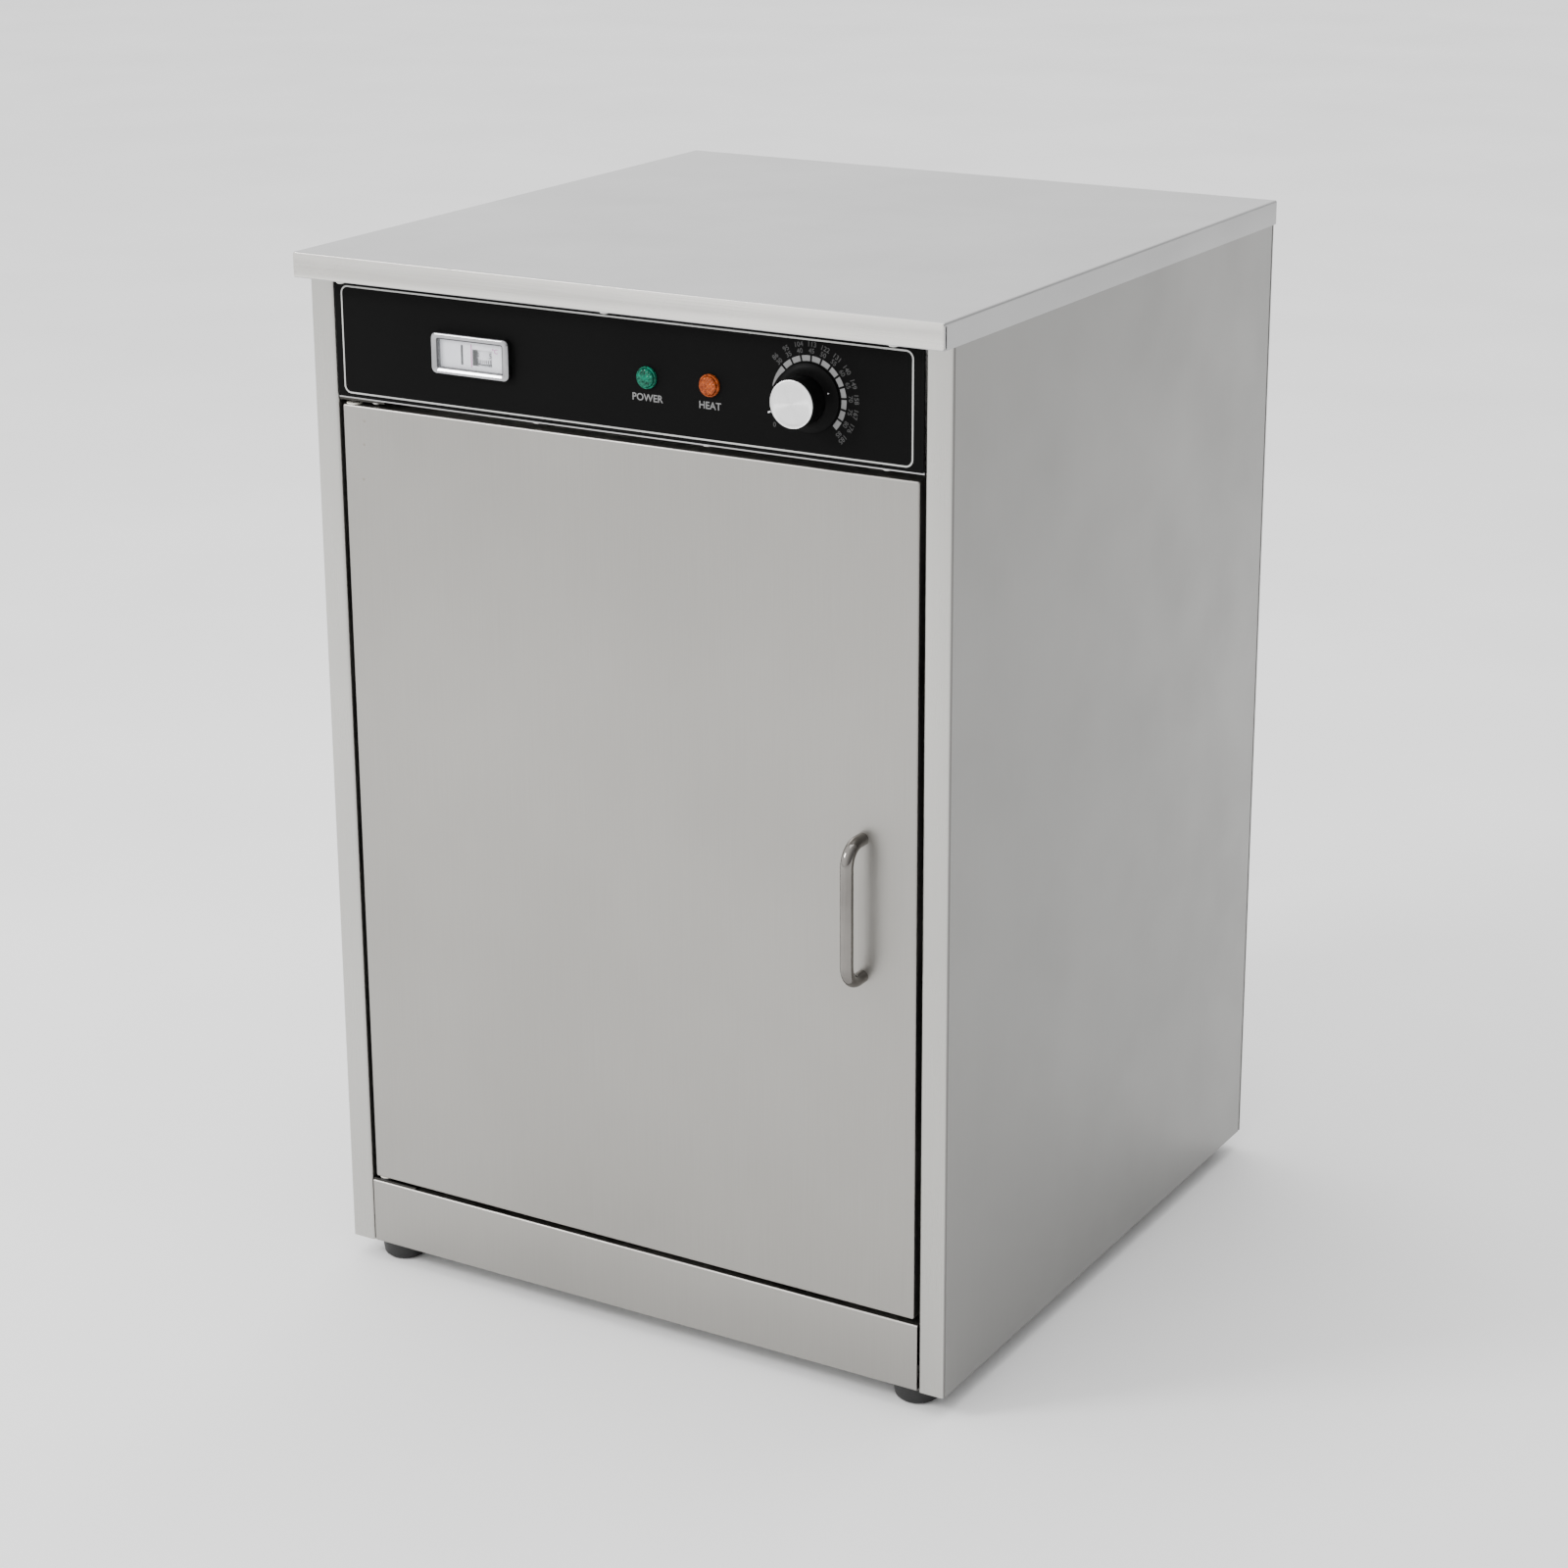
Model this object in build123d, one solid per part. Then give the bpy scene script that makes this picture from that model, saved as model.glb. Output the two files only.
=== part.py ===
from build123d import *
import os

# Countertop proofing cabinet, in millimetres. +X is the right of the front, -Y is the front, +Z is up.
# The origin is at the centre of the overall footprint, on the surface that the feet stand on.

# Cabinet
cabinet_width = 497.0
cabinet_depth = 499.0
cabinet_height = 740.0           # from the underside of the body to the top of the worktop
sheet = 1.0                      # outer stainless sheet
liner_sheet = 0.8                # inner stainless sheet
post_width = 19.5                # front face of each side panel
side_flange = 14.0               # bottom and rear folds of the side panels
rear_screw_end = 70.0            # from the body's underside, and from the worktop's top
rear_screw_inset = 7.0

# Worktop
worktop_sheet = 1.2
worktop_fold = 17.5              # height of the folded edge
worktop_nose = 15.5              # overhang in front of the body
worktop_gap = 0.3                # between the fold and the body
worktop_screw_inset = 36.0       # from the body's side
nose_screw_setback = 4.5         # from the nose's front face to the screw axes

# Plinth and feet
plinth_height = 49.4
plinth_gap = 1.2                 # between the plinth and each post
plinth_toe = 13.0
foot_height = 15.5
foot_top_radius = 17.5
foot_bottom_radius = 16.2
foot_round = 3.0
foot_inset_x = 31.5
foot_inset_y = 22.0
foot_recess_radius = 6.0
foot_recess_depth = 8.0

# Fascia and control compartment
fascia_height = 83.6
fascia_gap = 1.0                 # between the fascia and each post
fascia_flange = 25.0
overlay_thickness = 1.0
fascia_screw_inset = 28.6        # from the fascia's end
fascia_screw_setback = 6.0

# Door
door_gap_side = 4.0
door_gap_top = 4.5
door_gap_bottom = 3.75
door_pan_depth = 24.0
pivot_inset = 6.0                # from the door's left edge and from its front face
pin_radius = 3.0
pin_clearance = 0.05
bush_radius = 4.0
bush_length = 12.0
bush_clearance = 0.05
bush_flange_radius = 5.5
bush_flange_thickness = 0.8
hinge_plate = 1.5
hinge_plate_length = 38.0
body_gap = 0.3                   # between the door's parts and the cabinet's parts
door_screw_low = 16.8            # lowest screw, above the door's lower edge
door_screw_high = 17.05          # highest screw, below the door's upper edge
door_screw_middle = 43.2         # middle screw, above the handle's centre
door_screw_setback = 14.0
door_screw_length = 5.0
liner_fold_reach = 6.0           # in front of the edge screws
bush_space = 4.0                 # between a bush and the liner's folds or the insulation
edge_space = 7.0                 # between the liner's folds and the insulation, for the screw ends

# Handle
handle_rod_radius = 4.5
handle_spacing = 96.0
handle_standoff = 21.0           # from the door to the rod's axis
handle_inset = 40.0              # from the door's right edge
handle_height = 289.4            # above the door's lower edge
handle_bend = 14.0
handle_screw_reach = 9.0         # into the rod

# Seal, liner and insulation
gasket_inset = 9.5
gasket_width = 10.0
gasket_depth = 6.0
gasket_land = 1.5                # frame showing inside the gasket
frame_sheet = 1.2
frame_flange = 12.0
insulation = 30.0
insulation_gap = 0.5

# Magnetic catch
catch_width = 6.5
catch_height = 40.0
catch_setback = 1.0              # from the door's right edge
striker_thickness = 1.0

# Chamber fittings
shelf_count = 3
top_shelf_space = 151.25         # above the top shelf's ledges
pan_level = 62.0                 # water pan's ledge above the chamber floor
first_shelf_level = 128.0
ledge_width = 12.0
ledge_sheet = 1.0
ledge_front_setback = 25.0
ledge_rear_gap = 20.0
shelf_gap = 1.0                  # between a shelf and each chamber wall
shelf_rod_radius = 2.5
shelf_wire_radius = 1.5
shelf_wire_count = 13
shelf_weld = 0.4                 # depth that each wire sinks into the rods
shelf_corner = 12.0
shelf_setback = 8.0              # from the ledge's front end
pan_depth = 34.0
pan_rim = 14.0
pan_length = 300.0
element_radius = 4.0
element_half_span = 90.0
element_length = 300.0
element_bend = 24.0              # radius of the tube's centreline
element_height = 16.0
element_leg = 18.0               # behind the rear wall
element_nut_radius = 9.0
element_nut_length = 6.0

# Thermostat and its knob
thermostat_x = 145.5
control_drop = 60.7              # from the worktop's top to the line of the controls
thermostat_size = 36.0
thermostat_depth = 30.0
shaft_radius = 3.0
shaft_clearance = 0.05
shaft_bore_depth = 18.0
shaft_setback = 3.0              # from the cap's seat to the shaft's front end
thermostat_corner = 3.0
thermostat_screw_depth = 6.0
knob_gap = 0.6
knob_skirt_radius = 22.4
knob_skirt_rim = 1.0
knob_skirt_cone = 5.0
knob_radius = 15.9
knob_length = 20.5               # from the skirt's back to the cap's seat
cap_radius = 15.6
cap_thickness = 1.4
cap_bevel = 0.3
thermostat_screw_spacing = 28.0

# Dial thermometer
thermometer_x = -114.0
bezel_width = 63.0
bezel_height = 28.5
bezel_depth = 5.0
bezel_corner = 3.5
bezel_bevel = 1.0
window_width = 52.0
window_height = 19.0
lens_thickness = 0.8
lens_setback = 1.2
face_thickness = 0.6
face_setback = 4.2
scale_window_width = 16.0
scale_window_height = 11.0
scale_window_x = 8.2             # from the thermometer's centre
scale_window_drop = 1.0          # below the thermometer's centre
housing_wall = 1.0
housing_depth = 30.0
housing_clearance = 0.3
drum_radius = 10.0
drum_gap = 0.8                   # behind the cabinet's front plane
drum_end_gap = 2.0
spindle_radius = 1.0
spindle_clearance = 0.05

# Pilot lamps
pilot_spacing = 47.8
pilot_x = 24.1
pilot_radius = 7.5
pilot_height = 4.2
pilot_round = 2.0
pilot_barrel_radius = 5.0
pilot_barrel_length = 24.0
pilot_nut_radius = 7.5
pilot_nut_thickness = 4.0

# Sensing bulbs
bulb_radius = 3.2
bulb_length = 80.0
bulb_drop = 18.0                 # below the chamber's ceiling
bulb_spacing = 25.0
bulb_offset = 6.0                # from the wall to the bulb's axis
bulb_rear_gap = 60.0
clip_size = 10.0
clip_inset = 20.0                # from the bulb's ends
clip_wall = 1.5
clip_clearance = 0.05

# Mains entry
gland_inset = 58.5               # from the body's side
gland_drop = 72.0                # below the worktop's top
gland_bore_radius = 4.0
gland_barrel_radius = 8.0
gland_hex = 24.0
gland_hex_length = 8.0
gland_dome_length = 10.0
gland_dome_step = 2.0            # dome's radius, less than half the hexagon
gland_dome_round = 3.0
gland_barrel_length = 12.0       # behind the rear face
gland_locknut_length = 5.0
terminal_block_width = 50.0
terminal_block_depth = 25.0
terminal_block_height = 20.0
terminal_count = 4
terminal_screw_radius = 3.0
terminal_screw_depth = 8.0
terminal_rear_gap = 60.0
vent_count = 9
vent_width = 4.0
vent_height = 32.0
vent_pitch = 12.0

# Fasteners
screw_radius = 2.0
screw_head_radius = 4.0
screw_head_height = 2.2
screw_length = 6.0
thread_clearance = 0.05
hole_clearance = 0.15
foot_screw_radius = 2.5
foot_screw_length = 16.0
low_head_radius = 3.2
low_head_height = 1.2
low_screw_radius = 1.5
head_round = 0.6                 # rounded share of a head's height
bulb_round = 0.6                 # rounded share of a bulb's radius
spindle_hole_clearance = 0.05

# Places worked out from the sizes above
handle_reach = handle_standoff + handle_rod_radius
gland_reach = gland_hex_length + gland_dome_length
front = -(cabinet_depth + gland_reach - handle_reach) / 2
rear = front + cabinet_depth
half = cabinet_width / 2
base = foot_height
roof = base + cabinet_height - worktop_sheet
nose = front - worktop_nose
lip = base + cabinet_height - worktop_fold
post_inner = half - post_width
fascia_bottom = lip - fascia_height
plinth_top = base + plinth_height
door_half = post_inner - door_gap_side
door_bottom = plinth_top + door_gap_bottom
door_top = fascia_bottom - door_gap_top
door_back = front + door_pan_depth
frame_front = door_back + gasket_depth + body_gap
frame_back = frame_front + frame_sheet
seal_margin = gasket_inset + gasket_width + gasket_land
chamber_half = door_half - seal_margin
chamber_floor = door_bottom + seal_margin
chamber_ceiling = door_top - seal_margin
chamber_back = rear - sheet - insulation - liner_sheet
fascia_half = post_inner - fascia_gap
fascia_back = front + overlay_thickness + sheet
tray_bottom = fascia_bottom + sheet
pivot_x = -door_half + pivot_inset
pivot_y = front + pivot_inset
control_level = base + cabinet_height - control_drop
gland_level = base + cabinet_height - gland_drop
gland_x = half - gland_inset
shelf_stack = chamber_ceiling - chamber_floor - first_shelf_level - top_shelf_space
shelf_pitch = shelf_stack / (shelf_count - 1)


def block(x, y, z):
    # A box between two x, two y and two z values.
    size = Box(x[1] - x[0], y[1] - y[0], z[1] - z[0])
    return Pos((x[0] + x[1]) / 2, (y[0] + y[1]) / 2, (z[0] + z[1]) / 2) * size


def rod_z(x, y, z, radius):
    # A vertical cylinder between two z values.
    return Pos(x, y, (z[0] + z[1]) / 2) * Cylinder(radius, z[1] - z[0])


def rod_y(x, y, z, radius):
    # A cylinder along the depth, between two y values.
    return Pos(x, (y[0] + y[1]) / 2, z) * Rot(90, 0, 0) * Cylinder(radius, y[1] - y[0])


def rod_x(x, y, z, radius):
    # A cylinder across the width, between two x values.
    return Pos((x[0] + x[1]) / 2, y, z) * Rot(0, 90, 0) * Cylinder(radius, x[1] - x[0])


def ring_y(outer, inner, y):
    # A flat rectangular frame facing the front; outer and inner are (half width, bottom, top).
    frame = block((-outer[0], outer[0]), y, (outer[1], outer[2]))
    return frame - block((-inner[0], inner[0]), y, (inner[1], inner[2]))


def screw(radius, head_radius, head_height, length):
    # A dome-headed screw along +Z, with the underside of its head at z = 0.
    head = Pos(0, 0, -head_height / 2) * Cylinder(head_radius, head_height)
    crown = head.edges().group_by(Axis.Z)[0]
    head = fillet(crown, head_height * head_round)
    return head + rod_z(0, 0, (0, length), radius)


def mirrored(shape):
    # The same part on the other side of the cabinet.
    return mirror(shape, about=Plane.YZ)


def both_sides(shape):
    # A part and its mirror image as separate solids.
    return group([shape, mirrored(shape)])


def group(shapes):
    # Several identical pieces kept as separate solids.
    return Compound(children=[solid for shape in shapes for solid in shape.solids()])


def save(name, shape):
    export_step(shape, "parts/" + name + ".step")


# Hole positions that two or more pieces share
worktop_screw_y = nose + nose_screw_setback
worktop_screw_x = half - worktop_screw_inset
worktop_screw_points = [(x, worktop_screw_y) for x in (-worktop_screw_x, 0, worktop_screw_x)]
fascia_screw_y = front + fascia_screw_setback
fascia_screw_outer = fascia_half - fascia_screw_inset
fascia_screw_inner = fascia_screw_outer / 3
fascia_screw_xs = (-fascia_screw_outer, -fascia_screw_inner, fascia_screw_inner, fascia_screw_outer)
foot_points = [(sx * (half - foot_inset_x), y) for sx in (-1, 1) for y in (front + foot_inset_y, rear - foot_inset_y)]
rear_screw_x = half - rear_screw_inset
rear_screw_zs = (base + rear_screw_end, base + cabinet_height / 2, base + cabinet_height - rear_screw_end)
handle_x = door_half - handle_inset
handle_z = door_bottom + handle_height
door_screw_zs = (door_bottom + door_screw_low, handle_z + door_screw_middle, door_top - door_screw_high)
handle_screw_zs = (handle_z - handle_spacing / 2, handle_z + handle_spacing / 2)
pilot_xs = (pilot_x, pilot_x + pilot_spacing)
element_z = chamber_floor + element_height
pin_hole_radius = pin_radius + pin_clearance


# Side panels: outer skin, front post, inner return, rear and bottom folds, in one sheet.
def side_panel():
    z = (base, roof)
    skin = block((half - sheet, half), (front, rear - sheet), z)
    post = block((post_inner, half), (front, front + sheet), z)
    inner_return = block((post_inner, post_inner + sheet), (front, frame_front), z)
    rear_fold = block((half - side_flange, half), (rear - 2 * sheet, rear - sheet), z)
    bottom_fold = block((half - side_flange, half), (front, rear - sheet), (base, base + sheet))
    panel = skin + post + inner_return + rear_fold + bottom_fold
    for z_screw in rear_screw_zs:
        hole = (rear - 3 * sheet, rear)
        panel -= rod_y(rear_screw_x, hole, z_screw, screw_radius + thread_clearance)
    return panel


def rear_panel():
    panel = block((-half, half), (rear - sheet, rear), (base, roof))
    for x in (-rear_screw_x, rear_screw_x):
        for z_screw in rear_screw_zs:
            panel -= rod_y(x, (rear - 2 * sheet, rear + sheet), z_screw, screw_radius + hole_clearance)
    panel -= rod_y(gland_x, (rear - 2 * sheet, rear + sheet), gland_level, gland_barrel_radius + hole_clearance)
    for index in range(vent_count):
        x = (index - (vent_count - 1) / 2) * vent_pitch
        slot = (control_level - vent_height / 2, control_level + vent_height / 2)
        panel -= block((x - vent_width / 2, x + vent_width / 2), (rear - 2 * sheet, rear + sheet), slot)
    return panel


# Base pan: floor sheet on the side panels' bottom folds, notched round the posts, with a rear upstand.
def base_pan():
    z = (base + sheet, base + 2 * sheet)
    pan_half = half - sheet - body_gap
    notched_half = post_inner - body_gap
    pan_rear = rear - 2 * sheet
    pan = block((-pan_half, pan_half), (frame_front + body_gap, pan_rear), z)
    pan += block((-notched_half, notched_half), (front + plinth_toe, frame_front + body_gap), z)
    pan += block((-half + side_flange, half - side_flange), (pan_rear - sheet, pan_rear), (z[0], z[0] + side_flange))
    for x, y in foot_points:
        pan -= rod_z(x, y, (base, base + 3 * sheet), foot_screw_radius + hole_clearance)
    return pan


# Worktop: top sheet with four edges folded down, and a lip folded back under the nose.
def worktop():
    outer_half = half + worktop_gap + worktop_sheet
    y = (nose, rear + worktop_gap + worktop_sheet)
    top = block((-outer_half, outer_half), y, (lip, roof + worktop_sheet))
    inside_half = outer_half - worktop_sheet
    hollow_rear = block((-inside_half, inside_half), (front, y[1] - worktop_sheet), (lip, roof))
    hollow_nose = block((-inside_half, inside_half), (nose + worktop_sheet, front), (lip + worktop_sheet, roof))
    top = top - hollow_rear - hollow_nose
    top -= block((-inside_half, inside_half), (front - body_gap, front), (lip, roof))
    for x, y_screw in worktop_screw_points:
        top -= rod_z(x, y_screw, (lip - sheet, lip + 2 * worktop_sheet), screw_radius + hole_clearance)
    return top


# Fascia: upright sheet, a flange folded back below and one folded forward over the worktop's lip.
def control_fascia():
    x = (-fascia_half, fascia_half)
    y = (front + overlay_thickness, fascia_back)
    flange_z = lip + worktop_sheet
    plate = block(x, y, (fascia_bottom, flange_z + sheet))
    plate += block(x, (y[0], y[0] + fascia_flange), (fascia_bottom, fascia_bottom + sheet))
    plate += block(x, (nose + worktop_sheet + body_gap, y[1]), (flange_z, flange_z + sheet))
    for x_screw, y_screw in worktop_screw_points:
        plate -= rod_z(x_screw, y_screw, (lip, flange_z + 2 * sheet), screw_radius + thread_clearance)
    for x_screw in fascia_screw_xs:
        hole = (fascia_bottom - sheet, fascia_bottom + 2 * sheet)
        plate -= rod_z(x_screw, fascia_screw_y, hole, screw_radius + hole_clearance)
    return plate - control_cutouts(screw_radius + thread_clearance)


def fascia_overlay():
    overlay = block((-fascia_half, fascia_half), (front, front + overlay_thickness), (fascia_bottom + sheet, lip))
    return overlay - control_cutouts(screw_head_radius)


# Openings through the fascia and its overlay, at the controls.
def control_cutouts(screw_hole_radius):
    y = (front - 1, fascia_back + 1)
    cut_half = (window_width / 2 + housing_wall + housing_clearance, window_height / 2 + housing_wall + housing_clearance)
    x = (thermometer_x - cut_half[0], thermometer_x + cut_half[0])
    cuts = block(x, y, (control_level - cut_half[1], control_level + cut_half[1]))
    for x in pilot_xs:
        cuts += rod_y(x, y, control_level, pilot_barrel_radius + hole_clearance)
    cuts += rod_y(thermostat_x, y, control_level, shaft_radius + hole_clearance)
    for side in (-1, 1):
        x = thermostat_x + side * thermostat_screw_spacing / 2
        cuts += rod_y(x, y, control_level, screw_hole_radius)
    return cuts


# Control tray: the compartment's floor, on the fascia's lower flange.
def control_tray():
    x = (-fascia_half, fascia_half)
    tray = block(x, (fascia_back, rear - 2 * sheet), (tray_bottom, tray_bottom + sheet))
    for x_screw in fascia_screw_xs:
        hole = (tray_bottom - sheet, tray_bottom + 2 * sheet)
        tray -= rod_z(x_screw, fascia_screw_y, hole, screw_radius + thread_clearance)
    return tray


# Body screws: up through the worktop's lip, up through the fascia's flange, and in through the rear panel.
def body_screws():
    body = screw(screw_radius, screw_head_radius, screw_head_height, screw_length)
    shapes = [Pos(x, y, lip) * body for x, y in worktop_screw_points]
    for x in fascia_screw_xs:
        # The one nearest the hinge also holds the upper hinge bracket.
        seat = fascia_bottom - hinge_plate if x == -fascia_screw_outer else fascia_bottom
        shapes.append(Pos(x, fascia_screw_y, seat) * body)
    for x in (-rear_screw_x, rear_screw_x):
        for z_screw in rear_screw_zs:
            shapes.append(Pos(x, rear, z_screw) * Rot(90, 0, 0) * body)
    return group(shapes)


# Plinth: front sheet with a top flange back to the door frame and a toe under the body.
def plinth():
    plinth_half = post_inner - plinth_gap
    x = (-plinth_half, plinth_half)
    shape = block(x, (front, front + sheet), (base, plinth_top))
    shape += block(x, (front, frame_back), (plinth_top - sheet, plinth_top))
    shape += block(x, (front, front + plinth_toe), (base, base + sheet))
    return shape


def feet():
    shapes = []
    for x, y in foot_points:
        foot = Cone(foot_bottom_radius, foot_top_radius, foot_height)
        foot = fillet(foot.edges().group_by(Axis.Z)[0], foot_round)
        foot = Pos(x, y, foot_height / 2) * foot
        foot -= rod_z(x, y, (-1, foot_recess_depth), foot_recess_radius)
        foot -= rod_z(x, y, (0, foot_height + 1), foot_screw_radius + hole_clearance)
        shapes.append(foot)
    return group(shapes)


def foot_screws():
    shapes = []
    for x, y in foot_points:
        body = screw(foot_screw_radius, screw_head_radius, screw_head_height, foot_screw_length)
        shapes.append(Pos(x, y, foot_recess_depth) * body)
    return group(shapes)


# Door frame: flat ring that the gasket meets, with folds screwed behind the posts' returns.
def door_frame():
    outer = (post_inner + sheet + frame_sheet, plinth_top, tray_bottom)
    inner = (chamber_half, chamber_floor, chamber_ceiling)
    frame = ring_y(outer, inner, (frame_front, frame_back))
    fold = (post_inner + sheet, outer[0])
    for side in (1, -1):
        x = tuple(sorted(side * value for value in fold))
        frame += block(x, (frame_front - frame_flange, frame_front), (plinth_top, tray_bottom))
    return frame


def chamber_side():
    x = (chamber_half, chamber_half + liner_sheet)
    return block(x, (frame_back, chamber_back), (chamber_floor, chamber_ceiling))


def chamber_rear():
    wall_half = chamber_half + liner_sheet
    y = (chamber_back, chamber_back + liner_sheet)
    wall = block((-wall_half, wall_half), y, (chamber_floor, chamber_ceiling))
    for side in (-1, 1):
        hole = (chamber_back - 1, chamber_back + 2)
        wall -= rod_y(side * element_half_span, hole, element_z, element_radius + hole_clearance)
    return wall


def chamber_end(z):
    wall_half = chamber_half + liner_sheet
    return block((-wall_half, wall_half), (frame_back, chamber_back + liner_sheet), z)


def side_insulation():
    inner = chamber_half + liner_sheet
    z = (chamber_floor - liner_sheet, chamber_ceiling + liner_sheet)
    slab_rear = chamber_back + liner_sheet
    return block((inner, inner + insulation), (frame_back, slab_rear), z)


def rear_insulation():
    wall_half = chamber_half + liner_sheet
    z = (chamber_floor - liner_sheet, chamber_ceiling + liner_sheet)
    slab = block((-wall_half, wall_half), (chamber_back + liner_sheet, rear - sheet), z)
    for side in (-1, 1):
        channel = (chamber_back, rear)
        slab -= rod_y(side * element_half_span, channel, element_z, element_nut_radius + insulation_gap)
    return slab


def roof_insulation():
    wall_half = chamber_half + liner_sheet
    z = (chamber_ceiling + liner_sheet, tray_bottom)
    return block((-wall_half, wall_half), (frame_back, rear - 2 * sheet), z)


# Ledges: angle strips on the chamber's side walls; the lowest pair holds the water pan.
ledge_heights = [chamber_floor + pan_level]
for shelf_index in range(shelf_count):
    ledge_heights.append(chamber_floor + first_shelf_level + shelf_index * shelf_pitch)
ledge_front = frame_back + ledge_front_setback
ledge_rear = chamber_back - ledge_rear_gap


def shelf_ledges():
    shapes = []
    for z in ledge_heights:
        y = (ledge_front, ledge_rear)
        angle = block((chamber_half - ledge_sheet, chamber_half), y, (z - ledge_width, z))
        angle += block((chamber_half - ledge_width, chamber_half), y, (z - ledge_sheet, z))
        shapes.append(angle)
    return group(shapes)


# Wire shelf: a round-rod border with a middle rod, and thinner wires welded across the top.
def wire_shelf(z):
    reach = chamber_half - shelf_gap - shelf_rod_radius
    y = (ledge_front + shelf_setback + shelf_rod_radius, ledge_rear - shelf_setback - shelf_rod_radius)
    middle = (y[0] + y[1]) / 2
    outline = Pos(0, middle, shelf_rod_radius) * RectangleRounded(2 * reach, y[1] - y[0], shelf_corner)
    path = outline.face().outer_wire()
    start = Plane(origin=path @ 0, z_dir=path % 0)
    shelf = sweep(start * Circle(shelf_rod_radius), path=path)
    shelf += rod_x((-reach, reach), middle, shelf_rod_radius, shelf_rod_radius)
    wire_pitch = 2 * reach / (shelf_wire_count + 1)
    wire_level = 2 * shelf_rod_radius + shelf_wire_radius - shelf_weld
    for index in range(shelf_wire_count):
        x = -reach + (index + 1) * wire_pitch
        shelf += rod_y(x, (y[0] - 1, y[1] + 1), wire_level, shelf_wire_radius)
    return Pos(0, 0, z) * shelf


# Water pan: hangs on the lowest ledges by its rim.
def water_pan():
    z = ledge_heights[0]
    rim_half = chamber_half - shelf_gap
    wall_half = chamber_half - ledge_width - shelf_gap
    y = (ledge_front + shelf_setback, ledge_front + shelf_setback + pan_length)
    wall_y = (y[0] + pan_rim, y[1] - pan_rim)
    pan = block((-rim_half, rim_half), y, (z, z + liner_sheet))
    pan += block((-wall_half, wall_half), wall_y, (z - pan_depth, z))
    inner_y = (wall_y[0] + liner_sheet, wall_y[1] - liner_sheet)
    inner_half = wall_half - liner_sheet
    return pan - block((-inner_half, inner_half), inner_y, (z - pan_depth + liner_sheet, z + 1))


# Heating element: tube bent to a U on the chamber floor, its legs through the rear wall.
def heating_element():
    span = element_half_span
    leg_rear = chamber_back + liner_sheet + element_leg
    bend_y = chamber_back - element_length
    corners = [(-span, leg_rear), (-span, bend_y), (span, bend_y), (span, leg_rear)]
    path = FilletPolyline(*[(x, y, element_z) for x, y in corners], radius=element_bend)
    start = Plane(origin=(-span, leg_rear, element_z), z_dir=(0, -1, 0))
    return sweep(start * Circle(element_radius), path=path)


def element_nuts():
    shapes = []
    for side in (-1, 1):
        y = chamber_back + liner_sheet
        nut = Rot(-90, 0, 0) * extrude(RegularPolygon(element_nut_radius, 6), element_nut_length)
        nut = Pos(side * element_half_span, y, element_z) * nut
        bore = (y - 1, y + element_nut_length + 1)
        shapes.append(nut - rod_y(side * element_half_span, bore, element_z, element_radius + thread_clearance))
    return group(shapes)


# Sensing bulbs lie along the right wall, under the ceiling, each in two clips.
bulb_x = chamber_half - bulb_offset
bulb_ys = (chamber_back - bulb_rear_gap - bulb_length, chamber_back - bulb_rear_gap)


def sensing_bulbs():
    shapes = []
    for index in (0, 1):
        z = chamber_ceiling - bulb_drop - index * bulb_spacing
        bulb = rod_y(bulb_x, bulb_ys, z, bulb_radius)
        shapes.append(fillet(bulb.edges().group_by(Axis.Y)[0], bulb_radius * bulb_round))
    return group(shapes)


def bulb_clips():
    shapes = []
    for index in (0, 1):
        z = chamber_ceiling - bulb_drop - index * bulb_spacing
        for y in (bulb_ys[0] + clip_inset, bulb_ys[1] - clip_inset):
            x = (bulb_x - bulb_radius - clip_wall, chamber_half)
            clip = block(x, (y - clip_size / 2, y + clip_size / 2), (z - clip_size / 2, z + clip_size / 2))
            bore = (y - clip_size, y + clip_size)
            shapes.append(clip - rod_y(bulb_x, bore, z, bulb_radius + clip_clearance))
    return group(shapes)


# Thermostat: a body behind the fascia and a shaft through it.
def thermostat():
    size = thermostat_size / 2
    y = (fascia_back, fascia_back + thermostat_depth)
    body = block((thermostat_x - size, thermostat_x + size), y, (control_level - size, control_level + size))
    body = fillet(body.edges().filter_by(Axis.Y), thermostat_corner)
    bore = (fascia_back - 1, fascia_back + shaft_bore_depth + body_gap)
    body -= rod_y(thermostat_x, bore, control_level, shaft_radius + shaft_clearance)
    for side in (-1, 1):
        x = thermostat_x + side * thermostat_screw_spacing / 2
        body -= rod_y(x, (fascia_back - 1, fascia_back + thermostat_screw_depth), control_level, screw_radius + thread_clearance)
    return body


def thermostat_screws():
    shapes = []
    for side in (-1, 1):
        x = thermostat_x + side * thermostat_screw_spacing / 2
        head = overlay_thickness
        body = screw(screw_radius, screw_head_radius - hole_clearance, head, sheet + thermostat_screw_depth - 1)
        shapes.append(Pos(x, front + overlay_thickness, control_level) * Rot(-90, 0, 0) * body)
    return group(shapes)


knob_back = front - knob_gap
cap_seat = knob_back - knob_length
shaft_front = cap_seat + shaft_setback


def thermostat_shaft():
    return rod_y(thermostat_x, (shaft_front, fascia_back + shaft_bore_depth), control_level, shaft_radius)


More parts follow.
